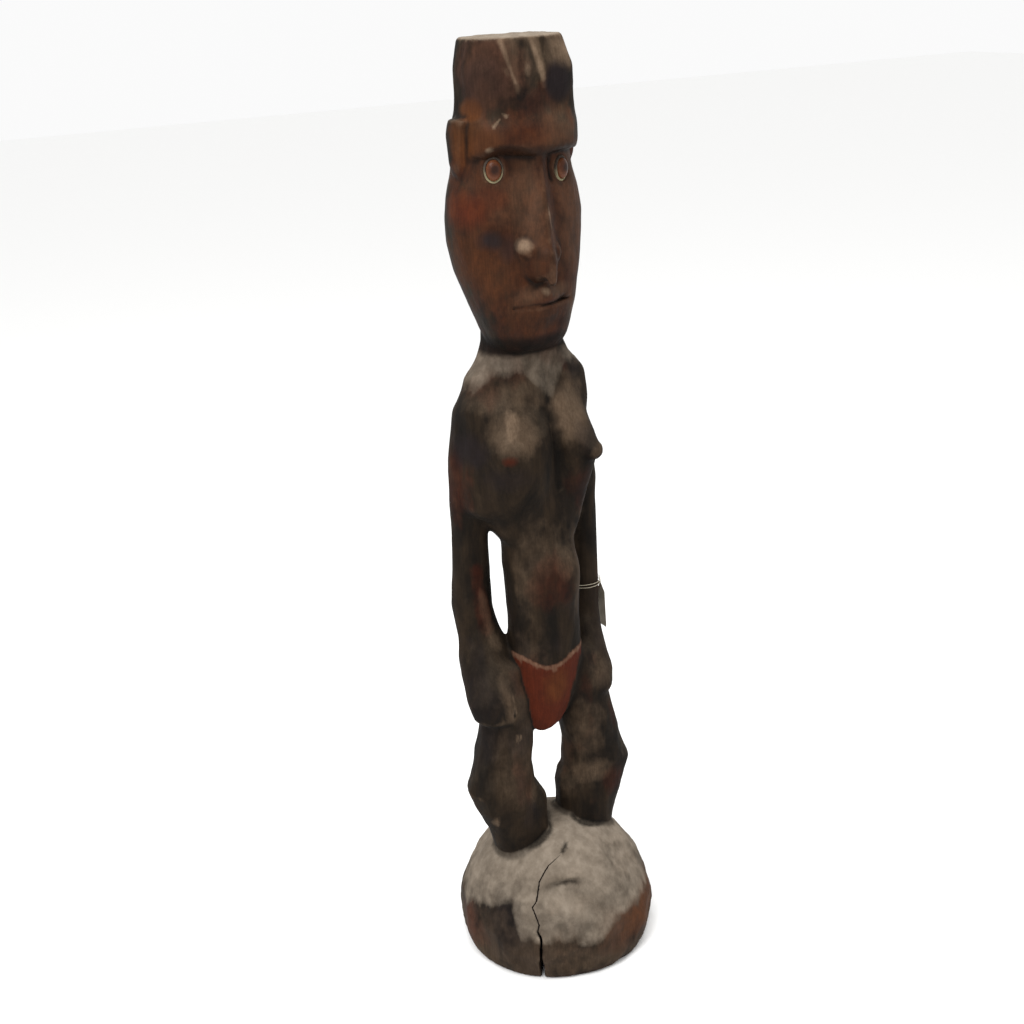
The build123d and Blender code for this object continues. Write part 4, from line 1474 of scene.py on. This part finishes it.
@dataclass(frozen=True)
class ShellPlug(Finish):
    """The horny door of a sea snail, ground and polished: warm rings round a dark brown middle."""

    name: str = "polished_snail_operculum"
    middle: str = "#241007"
    ring: str = "#45220e"
    rim: str = "#5c3520"
    ring_mm: float = 2.2

    def make(self, centre: Vector, spread: float) -> bpy.types.Material:
        """Builds the rings round a centre.

        Args:
            centre: the plug's middle in metres.
            spread: its half height in metres.

        Returns:
            The finish for one plug.
        """
        material, tree, shader, place = self.start()
        local = add_node(tree, "ShaderNodeVectorMath", {0: place, 1: tuple(centre)},
                         operation="SUBTRACT").outputs[0]
        wobble = add_node(tree, "ShaderNodeTexNoise", {"Vector": place, "Scale": 240.0, "Detail": 4.0})
        far = add_node(tree, "ShaderNodeVectorMath", {0: local}, operation="LENGTH").outputs["Value"]
        share = reckon(tree, "MULTIPLY", far, 1 / spread)
        share = reckon(tree, "MULTIPLY_ADD", wobble.outputs["Fac"], 0.30, share)
        bands = add_node(tree, "ShaderNodeValToRGB", {"Fac": share})
        stops = bands.color_ramp.elements
        stops[0].position, stops[0].color = 0.40, linear(self.middle)
        stops[1].position, stops[1].color = 0.98, linear(self.rim)
        between = stops.new(0.72)
        between.color = linear(self.ring)
        tree.links.new(bands.outputs["Color"], shader.inputs["Base Color"])
        shader.inputs["Roughness"].default_value = 0.38
        shader.inputs["IOR"].default_value = 1.53
        shader.inputs["Specular IOR Level"].default_value = 0.16
        rings = reckon(tree, "MULTIPLY", far, 2 * math.pi / (self.ring_mm * MM))
        rings = reckon(tree, "SINE", rings)
        bump = add_node(tree, "ShaderNodeBump", {"Height": rings, "Strength": 0.12, "Distance": 0.0003})
        tree.links.new(bump.outputs[0], shader.inputs["Normal"])
        return material


@dataclass(frozen=True)
class CottonString(Finish):
    """Bleached two-ply cotton parcel string, greyed by handling."""

    name: str = "two_ply_cotton_string"
    clean: str = "#c9bfa9"
    grubby: str = "#8f846e"

    def make(self) -> bpy.types.Material:
        """Builds the soft, fuzzy finish."""
        material, tree, shader, place = self.start()
        fuzz = add_node(tree, "ShaderNodeTexNoise",
                        {"Vector": place, "Scale": 2600.0, "Detail": 3.0}).outputs["Fac"]
        grime = add_node(tree, "ShaderNodeTexNoise",
                         {"Vector": place, "Scale": 140.0, "Detail": 3.0}).outputs["Fac"]
        mix = add_node(tree, "ShaderNodeMix", {0: grime, 6: linear(self.grubby), 7: linear(self.clean)},
                       data_type="RGBA")
        tree.links.new(mix.outputs[2], shader.inputs["Base Color"])
        shader.inputs["Roughness"].default_value = 0.9
        shader.inputs["Sheen Weight"].default_value = 0.3
        bump = add_node(tree, "ShaderNodeBump", {"Height": fuzz, "Strength": 0.6, "Distance": 0.0002})
        tree.links.new(bump.outputs[0], shader.inputs["Normal"])
        return material


@dataclass(frozen=True)
class Paperboard(Finish):
    """Uncoated buff board or paper, its fibres felted flat and its face foxed by age."""

    face: str
    foxed: str
    fibre_mm: float = 0.9

    def make(self) -> bpy.types.Material:
        """Builds the felted finish."""
        material, tree, shader, place = self.start()
        fibre = add_node(tree, "ShaderNodeTexNoise",
                         {"Vector": place, "Scale": 1 / (self.fibre_mm * MM), "Detail": 6.0,
                         "Roughness": 0.7}).outputs["Fac"]
        stain = add_node(tree, "ShaderNodeTexNoise", {"Vector": place, "Scale": 60.0, "Detail": 4.0,
                         "Distortion": 0.6}).outputs["Fac"]
        share = add_node(tree, "ShaderNodeMapRange",
                         {"Value": stain, "From Min": 0.42, "From Max": 0.75}).outputs[0]
        mix = add_node(tree, "ShaderNodeMix", {0: share, 6: linear(self.face), 7: linear(self.foxed)},
                       data_type="RGBA")
        tree.links.new(mix.outputs[2], shader.inputs["Base Color"])
        shader.inputs["Roughness"].default_value = 0.88
        bump = add_node(tree, "ShaderNodeBump", {"Height": fibre, "Strength": 0.35, "Distance": 0.00015})
        tree.links.new(bump.outputs[0], shader.inputs["Normal"])
        return material


# ----------------------------------------------------------------------- eyes
class Side(Enum):
    """The figure's own sides; the value is the sign of X."""

    RIGHT = -1
    LEFT = 1


def linked(name: str, mesh: bpy.types.Mesh) -> bpy.types.Object:
    """Puts a finished mesh in the scene as a piece at the origin."""
    piece = bpy.data.objects.new(name, mesh)
    bpy.context.scene.collection.objects.link(piece)
    return piece


def turned_form(name: str, profile: Sequence[tuple[float, float]], wide: float, tall: float, place: Matrix,
                sides: int = 64, wobble: float = 0.0) -> bpy.types.Object:
    """Turns a profile about an eye's axis and stretches it to an oval.

    Args:
        name: the piece's name.
        profile: (share of the radius, depth in millimetres) pairs along the skin, starting and ending on the
            axis, or closed in itself where the piece is a ring.
        wide: the oval's half width in millimetres.
        tall: its half height in millimetres.
        place: where the eye's own frame stands, in metres.
        sides: how many sides the turning has.
        wobble: how uneven the oval is, as a share of its size.

    Returns:
        The closed piece.
    """
    shape = bmesh.new()
    rows = []
    for share, depth in profile:
        if share <= 0:
            rows.append([shape.verts.new((0, 0, depth * MM))])
            continue
        row = []
        for i in range(sides):
            angle = 2 * math.pi * i / sides
            waves = math.sin(3 * angle + 1) + 0.6 * math.sin(7 * angle) + 0.4 * math.sin(13 * angle + 2)
            size = share * (1 + wobble * waves)
            row.append(shape.verts.new((wide * size * math.cos(angle) * MM,
                                        tall * size * math.sin(angle) * MM, depth * MM)))
        rows.append(row)
    pairs = list(zip(rows, rows[1:]))
    if len(rows[0]) > 1 and len(rows[-1]) > 1:
        pairs.append((rows[-1], rows[0]))
    for one, other in pairs:
        for i in range(sides):
            j = (i + 1) % sides
            corners = [one[i % len(one)], one[j % len(one)], other[j % len(other)], other[i % len(other)]]
            face = list(dict.fromkeys(corners))
            if len(face) > 2:
                shape.faces.new(face)
    bmesh.ops.recalc_face_normals(shape, faces=shape.faces)
    shape.transform(place)
    mesh = bpy.data.meshes.new(name)
    shape.to_mesh(mesh)
    shape.free()
    mesh.shade_smooth()
    return linked(name, mesh)


@dataclass
class Eye:
    """One eye: a domed shell plug in a ring of putty, let into the face.

    Attributes:
        side: which side of the face it is on.
        spread: its distance from the middle of the face, in millimetres like all its sizes.
        forward: how far forward of the log's axis its middle is.
        height: its middle's height.
        out_turn: degrees that it looks outwards from the face.
        face_turn: degrees that the face is turned.
        plug_wide: the plug's width.
        plug_tall: its height.
        ring_wide: the ring's outer width.
        ring_tall: its outer height.
        pocket_deep: how deep the pocket is that both sit in.
        plug_proud: how far the plug's dome stands out of the face.
    """

    side: Side
    spread: float
    forward: float
    height: float
    out_turn: float = 20.0
    face_turn: float = 6.0
    plug_wide: float = 20.0
    plug_tall: float = 27.0
    ring_wide: float = 25.0
    ring_tall: float = 33.0
    pocket_deep: float = 7.0
    plug_proud: float = 7.2

    def place(self) -> Matrix:
        """The eye's own frame: X across, Y up, Z out of the face.

        Returns:
            Where the frame stands, in metres.
        """
        out = math.radians(self.side.value * self.out_turn + self.face_turn)
        facing = Vector((math.sin(out), -math.cos(out), 0))
        across = Vector((math.cos(out), math.sin(out), 0))
        middle = Vector(turned((self.side.value * self.spread, -self.forward, self.height),
                               self.face_turn)) * MM
        frame = Matrix((across, Vector((0, 0, 1)), facing)).transposed().to_4x4()
        return Matrix.Translation(middle) @ frame

    def build(self, putty: LimePutty, shell: ShellPlug) -> list[bpy.types.Object]:
        """Makes the ring of putty and the plug.

        Args:
            putty: the ring's finish, made for this eye's height.
            shell: the plug's finish, made for this eye's centre.

        Returns:
            The two pieces.
        """
        name = self.side.name.lower()
        inner = self.plug_wide / self.ring_wide * 0.99
        deep, proud = -self.pocket_deep, self.plug_proud
        ring = [(inner, deep), (1.02, deep), (1.03, -2.2), (1.0, -0.6), (0.94, 0.5), (0.87, 0.7),
                (inner + 0.01, -0.2), (inner, -2)]
        bedding = turned_form(f"{name}_eye_putty", ring, self.ring_wide / 2, self.ring_tall / 2, self.place(),
                              72, 0.012)
        bedding.data.materials.append(putty.make(self.height * MM))
        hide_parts(f"{name}_eye_bedding")
        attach(bedding, "figure")
        dome = [(0, deep), (0.97, deep), (0.985, 0.0)]
        dome += [(0.985 * math.cos(t), proud * math.sin(t)) for t in np.radians([12, 25, 38, 50, 61, 71, 80])]
        plug = turned_form(f"{name}_eye_shell", dome + [(0, proud)], self.plug_wide / 2, self.plug_tall / 2,
                           self.place(), 64, 0.006)
        top = self.place() @ Vector((0, 0.0015, 0.006))
        plug.data.materials.append(shell.make(top, self.plug_tall / 2 * MM))
        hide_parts(f"{name}_eye_inlay")
        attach(plug, "figure")
        return [bedding, plug]


# ---------------------------------------------------------- string and ticket
class TwistTree:
    """The node tree that twists plies of yarn along a line, with named inputs for its sizes."""

    INPUTS = (("Ply Radius", "NodeSocketFloat", 0.0003), ("Ply Offset", "NodeSocketFloat", 0.0003),
              ("Lay Length", "NodeSocketFloat", 0.003), ("Step", "NodeSocketFloat", 0.0004),
              ("Finish", "NodeSocketMaterial", None))

    def __init__(self) -> None:
        """Builds the tree once."""
        tree = self.tree = bpy.data.node_groups.new("twisted_string", "GeometryNodeTree")
        tree.interface.new_socket("Geometry", in_out="INPUT", socket_type="NodeSocketGeometry")
        for name, kind, value in self.INPUTS:
            socket = tree.interface.new_socket(name, in_out="INPUT", socket_type=kind)
            if value is not None:
                socket.default_value = value
        tree.interface.new_socket("Geometry", in_out="OUTPUT", socket_type="NodeSocketGeometry")
        given = add_node(tree, "NodeGroupInput").outputs
        line = add_node(tree, "GeometryNodeMeshToCurve", {"Mesh": given["Geometry"]}).outputs[0]
        line = add_node(tree, "GeometryNodeResampleCurve", {"Curve": line, "Length": given["Step"]},
                        mode="LENGTH").outputs[0]
        line = add_node(tree, "GeometryNodeSetCurveNormal", {"Curve": line}, mode="MINIMUM_TWIST").outputs[0]
        run = add_node(tree, "GeometryNodeSplineParameter")
        whole = add_node(tree, "GeometryNodeSplineLength").outputs["Length"]
        turns = reckon(tree, "DIVIDE", whole, given["Lay Length"])
        turns = reckon(tree, "ROUND", turns)
        angle = reckon(tree, "MULTIPLY", run.outputs["Factor"], turns)
        angle = reckon(tree, "MULTIPLY", angle, 2 * math.pi)
        line = add_node(tree, "GeometryNodeSetCurveTilt", {"Curve": line, "Tilt": angle}).outputs[0]
        plies = add_node(tree, "GeometryNodeJoinGeometry")
        for sign in (1.0, -1.0):
            ring = add_node(tree, "GeometryNodeCurvePrimitiveCircle",
                            {"Resolution": 8, "Radius": given["Ply Radius"]},
                            mode="RADIUS").outputs["Curve"]
            off = reckon(tree, "MULTIPLY", given["Ply Offset"], sign)
            vector = add_node(tree, "ShaderNodeCombineXYZ", {"X": off}).outputs[0]
            ring = add_node(tree, "GeometryNodeTransform",
                            {"Geometry": ring, "Translation": vector}).outputs[0]
            ply = add_node(tree, "GeometryNodeCurveToMesh",
                           {"Curve": line, "Profile Curve": ring, "Fill Caps": True})
            tree.links.new(ply.outputs[0], plies.inputs[0])
        solid = add_node(tree, "GeometryNodeSetShadeSmooth", {"Geometry": plies.outputs[0]}).outputs[0]
        whole_mesh = add_node(tree, "GeometryNodeRealizeInstances", {"Geometry": solid}).outputs[0]
        dressed = add_node(tree, "GeometryNodeSetMaterial",
                           {"Geometry": whole_mesh, "Material": given["Finish"]}).outputs[0]
        add_node(tree, "NodeGroupOutput", {"Geometry": dressed})

    def twist(self, name: str, route: Sequence[Vector], finish: bpy.types.Material,
              **sizes: float) -> bpy.types.Object:
        """Twists a closed string along a route.

        Args:
            name: the piece's name.
            route: points of the string's middle line, in metres; it closes on itself.
            finish: the string's finish.
            **sizes: values for the tree's named inputs, with underscores for spaces.

        Returns:
            The string as a plain mesh piece.
        """
        line = bpy.data.meshes.new(name)
        steps = [(i, (i + 1) % len(route)) for i in range(len(route))]
        line.from_pydata([tuple(p) for p in route], steps, [])
        piece = linked(name, line)
        twist = piece.modifiers.new("twist", "NODES")
        twist.node_group = self.tree
        for socket in self.tree.interface.items_tree:
            if socket.in_out == "INPUT" and socket.name == "Finish":
                twist[socket.identifier] = finish
            elif socket.in_out == "INPUT" and socket.name.replace(" ", "_") in sizes:
                twist[socket.identifier] = float(sizes[socket.name.replace(" ", "_")])
        plain = bpy.data.meshes.new_from_object(piece.evaluated_get(bpy.context.evaluated_depsgraph_get()))
        plain.name = name
        plain.materials.clear()
        plain.materials.append(finish)
        piece.modifiers.clear()
        piece.data = plain
        return piece


@dataclass
class StringTie:
    """The string tied twice round the left wrist, and its link through the ticket."""

    wrist: tuple[float, float] = (90.0, -42.0)
    radius: float = 24.9
    upper: float = 537.0
    lower: float = 532.0
    hole: float = 521.5
    rise: float = 1.5
    half_gap: float = 1.8

    def turn(self, height: float, seed: float) -> list[Vector]:
        """The slightly slack line of one turn round the wrist.

        Args:
            height: the turn's height in millimetres.
            seed: what makes its slack its own.

        Returns:
            Points of its middle line, in metres.
        """
        points = []
        for i in range(180):
            a = 2 * math.pi * i / 180
            slack = 0.22 * math.sin(2 * a + seed) + 0.12 * math.sin(5 * a + 2 * seed)
            drop = 0.5 * math.sin(a + seed) + 0.25 * math.sin(3 * a + seed)
            near = math.exp(-(math.remainder(a, 2 * math.pi) / 0.35) ** 2)
            r = self.radius + slack * (1 - near) + 0.1 * near
            points.append(Vector((self.wrist[0] + r * math.cos(a), -self.wrist[1] + r * math.sin(a),
                                  height + drop * (1 - near))) * MM)
        return points

    def link(self) -> list[Vector]:
        """The line of the link from over the lower turn down through the ticket's hole.

        Returns:
            Points of its middle line, in metres.
        """
        top, bottom = self.lower + self.rise - self.half_gap, self.hole + self.half_gap
        x, y = self.wrist[0] + 25.0, -self.wrist[1]
        points = []
        for middle, first in ((top, 0), (bottom, 180)):
            for i in range(13):
                a = math.radians(first + 15 * i)
                points.append(Vector((x + self.half_gap * math.cos(a), y,
                                      middle + self.half_gap * math.sin(a))) * MM)
        return points

    def build(self, twister: TwistTree, cotton: bpy.types.Material) -> list[bpy.types.Object]:
        """Twists the two turns and the link.

        Args:
            twister: the string-making tree.
            cotton: the string's finish.

        Returns:
            The three pieces.
        """
        sizes = {"Ply_Radius": 0.31 * MM, "Ply_Offset": 0.28 * MM, "Lay_Length": 3.2 * MM, "Step": 0.35 * MM}
        made = []
        for node, body, route in (("string_upper_turn", "upper_turn", self.turn(self.upper, 0.7)),
                                  ("string_lower_turn", "lower_turn", self.turn(self.lower, 2.3)),
                                  ("string_hitch", "hitch", self.link())):
            piece = twister.twist(f"cotton_{node}", route, cotton, **sizes)
            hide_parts(node)
            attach(piece, body)
            made.append(piece)
        return made


@dataclass
class Ticket:
    """The blank clipped-corner ticket with its two stiffening patches."""

    hole_at: Triple = (115.0, 42.0, 521.5)
    wide: float = 35.0
    tall: float = 70.0
    thick: float = 0.5
    hole_below_top: float = 7.0
    clip_wide: float = 11.5
    clip_tall: float = 13.0
    hole_radius: float = 2.25
    patch_radius: float = 6.0

    def outline_radius(self, angle: float) -> float:
        """How far the card's edge is from its hole.

        Args:
            angle: the direction, in radians from level.

        Returns:
            The distance in millimetres.
        """
        half, top = self.wide / 2, self.hole_below_top
        foot = self.tall - top
        c, s = math.cos(angle), math.sin(angle)
        slope = Vector((self.clip_tall, self.clip_wide)).normalized()
        clip = slope.dot(Vector((half, top - self.clip_tall)))
        limits = [(abs(c), half), (s, top), (-s, foot), (abs(c) * slope.x + s * slope.y, clip)]
        return min(limit / push for push, limit in limits if push > 1e-6)

    def bowed(self, across: float, up: float) -> float:
        """How far the old card has bowed out of flat, in millimetres; none at the hole."""
        return 0.00035 * up * up + 0.0009 * across * across * math.tanh(abs(up) / 20)

    def sheet(self, name: str, radii: Sequence[float], thick: float, offset: float,
              whole: bool) -> bpy.types.Object:
        """Makes a holed sheet as rings from the hole to the edge, closed over its thickness.

        Args:
            name: the piece's name.
            radii: shares of the way from the hole to the edge.
            thick: the sheet's thickness in millimetres.
            offset: how far its middle stands off the card's middle plane.
            whole: True for the card's own outline, False for a round patch.

        Returns:
            The sheet.
        """
        shape = bmesh.new()
        sides = 160 if whole else 64
        faces: dict[int, list[list[bmesh.types.BMVert]]] = {}
        for front in (1, -1):
            rings = []
            for share in radii:
                ring = []
                for i in range(sides):
                    a = 2 * math.pi * (i + 0.5) / sides
                    edge = self.outline_radius(a) if whole else self.patch_radius
                    r = self.hole_radius + (edge - self.hole_radius) * share
                    across, up = r * math.cos(a), r * math.sin(a)
                    round_off = 0.6 if share in (radii[0], radii[-1]) else 1.0
                    x = self.hole_at[0] + offset + front * thick / 2 * round_off + self.bowed(across, up)
                    ring.append(shape.verts.new(Vector((x, self.hole_at[1] + across,
                                                        self.hole_at[2] + up)) * MM))
                rings.append(ring)
            faces[front] = rings
        loops = faces[1] + faces[-1][::-1]
        for one, other in zip(loops, loops[1:] + loops[:1]):
            for i in range(sides):
                j = (i + 1) % sides
                shape.faces.new((one[i], one[j], other[j], other[i]))
        bmesh.ops.recalc_face_normals(shape, faces=shape.faces)
        mesh = bpy.data.meshes.new(name)
        shape.to_mesh(mesh)
        shape.free()
        return linked(name, mesh)

    def build(self, board: bpy.types.Material, gummed: bpy.types.Material) -> list[bpy.types.Object]:
        """Makes the card and its patches.

        Args:
            board: the card's finish.
            gummed: the patches' finish.

        Returns:
            The two pieces.
        """
        card = self.sheet("ticket_board", (0.0, 0.02, 0.25, 0.5, 0.75, 0.985, 1.0), self.thick, 0.0, True)
        card.data.materials.append(board)
        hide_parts("ticket_card")
        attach(card, "ticket")
        patches = [self.sheet(f"patch_{k}", (0.0, 0.12, 0.5, 0.88, 1.0), 0.28, k * 0.39, False)
                   for k in (1, -1)]
        both = bmesh.new()
        for patch in patches:
            both.from_mesh(patch.data)
            bpy.data.objects.remove(patch)
        mesh = bpy.data.meshes.new("ticket_washers")
        both.to_mesh(mesh)
        both.free()
        washers = linked("ticket_washers", mesh)
        mesh.materials.append(gummed)
        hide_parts("ticket_patches")
        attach(washers, "ticket")
        return [card, washers]


# --------------------------------------------------------------------- studio
@dataclass
class Studio:
    """A plain pale floor, soft light from above and the left, and a standing viewer's camera."""

    azimuth: float = -27.0
    distance: float = 1.885
    eye_height: float = 1.378
    pitch: float = 20.46
    yaw: float = -1.10
    roll: float = 3.0
    lens: float = 51.32

    def camera(self) -> bpy.types.Object:
        """Stands the camera at the figure's right front, looking slightly down, held a little askew.

        Returns:
            The camera.
        """
        a, y, p, r = (math.radians(v) for v in (self.azimuth, self.yaw, self.pitch, self.roll))
        side, away = Vector((math.cos(a), math.sin(a), 0)), Vector((-math.sin(a), math.cos(a), 0))
        ahead = (side * math.sin(y) + away * math.cos(y)) * math.cos(p) - Vector((0, 0, math.sin(p)))
        right = side * math.cos(y) - away * math.sin(y)
        up = right.cross(ahead)
        right, up = right * math.cos(r) - up * math.sin(r), right * math.sin(r) + up * math.cos(r)
        data = bpy.data.cameras.new("viewer")
        data.lens, data.sensor_width, data.clip_end = self.lens, 36.0, 50.0
        camera = bpy.data.objects.new("viewer", data)
        camera.matrix_world = Matrix.Translation(-away * self.distance + Vector((0, 0, self.eye_height))) @ \
            Matrix((right, up, -ahead)).transposed().to_4x4()
        bpy.context.scene.collection.objects.link(camera)
        bpy.context.scene.camera = camera
        return camera

    def light(self, name: str, azimuth: float, height: float, reach: float, size: float, watts: float,
              aim: float = 0.65) -> None:
        """Hangs one square softbox.

        Args:
            name: the light's name.
            azimuth: degrees round the figure, 0 in front of it and positive towards its left.
            height: metres above the floor.
            reach: metres from the figure, along the floor.
            size: the softbox's side in metres.
            watts: its power.
            aim: the height on the figure that it points at.
        """
        data = bpy.data.lights.new(name, "AREA")
        data.size, data.energy = size, watts
        lamp = bpy.data.objects.new(name, data)
        a = math.radians(azimuth)
        lamp.location = (reach * math.sin(a), -reach * math.cos(a), height)
        lamp.rotation_euler = (lamp.location - Vector((0, 0, aim))).to_track_quat("Z", "Y").to_euler()
        bpy.context.scene.collection.objects.link(lamp)

    def build(self) -> None:
        """Sets the floor, the lights, the room's fill and plain tones, so that a white room stays white."""
        self.light("key_softbox", -60, 2.8, 1.9, 1.3, 52)
        self.light("top_softbox", -10, 3.3, 0.5, 1.5, 44)
        self.light("fill_softbox", 40, 1.5, 3.0, 2.2, 5)
        world = bpy.data.worlds.new("white_room")
        world.use_nodes = True
        world.node_tree.nodes["Background"].inputs["Color"].default_value = (1, 1, 1, 1)
        world.node_tree.nodes["Background"].inputs["Strength"].default_value = 0.96
        bpy.context.scene.world = world
        bpy.context.scene.view_settings.view_transform = "Standard"
        mesh = bpy.data.meshes.new("floor")
        mesh.from_pydata([(-14, -14, 0), (14, -14, 0), (14, 14, 0), (-14, 14, 0)], [], [(0, 1, 2, 3)])
        floor = linked("floor", mesh)
        material = bpy.data.materials.new("matt_white_floor")
        material.use_nodes = True
        shader = material.node_tree.nodes["Principled BSDF"]
        shader.inputs["Base Color"].default_value = linear("#fbfbfa")
        shader.inputs["Roughness"].default_value = 0.95
        mesh.materials.append(material)


# ----------------------------------------------------------- the whole figure
def main() -> None:
    """Builds the studio, the carving, its eyes and its ticket, and reports each piece."""
    logging.basicConfig(level=logging.INFO, format="%(name)s: %(message)s")
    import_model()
    studio = Studio()
    studio.camera()
    studio.build()
    carving = CarvedLog()
    log = carving.build()
    log.data.materials.append(HewnWood(split_turn=carving.base.split_turn,
                                       split_path=carving.base.split_path).make())
    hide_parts("carved_figure")
    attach(log, "figure")
    pieces = [log]
    for side, spread, forward, height in carving.head.eyes:
        pieces += Eye(Side(side), spread, forward, height).build(LimePutty(), ShellPlug())
    pieces += StringTie().build(TwistTree(), CottonString().make())
    pieces += Ticket().build(Paperboard("buff_ticket_board", "#7f7565", "#6a5f4e").make(),
                             Paperboard("gummed_paper_patch", "#6f5c45", "#5a4a38", 1.4).make())
    for piece in pieces:
        LOG.info("%s: %d faces, finish %s", piece.name, len(piece.data.polygons),
                 piece.data.materials[0].name)


if __name__ == "__main__":
    main()
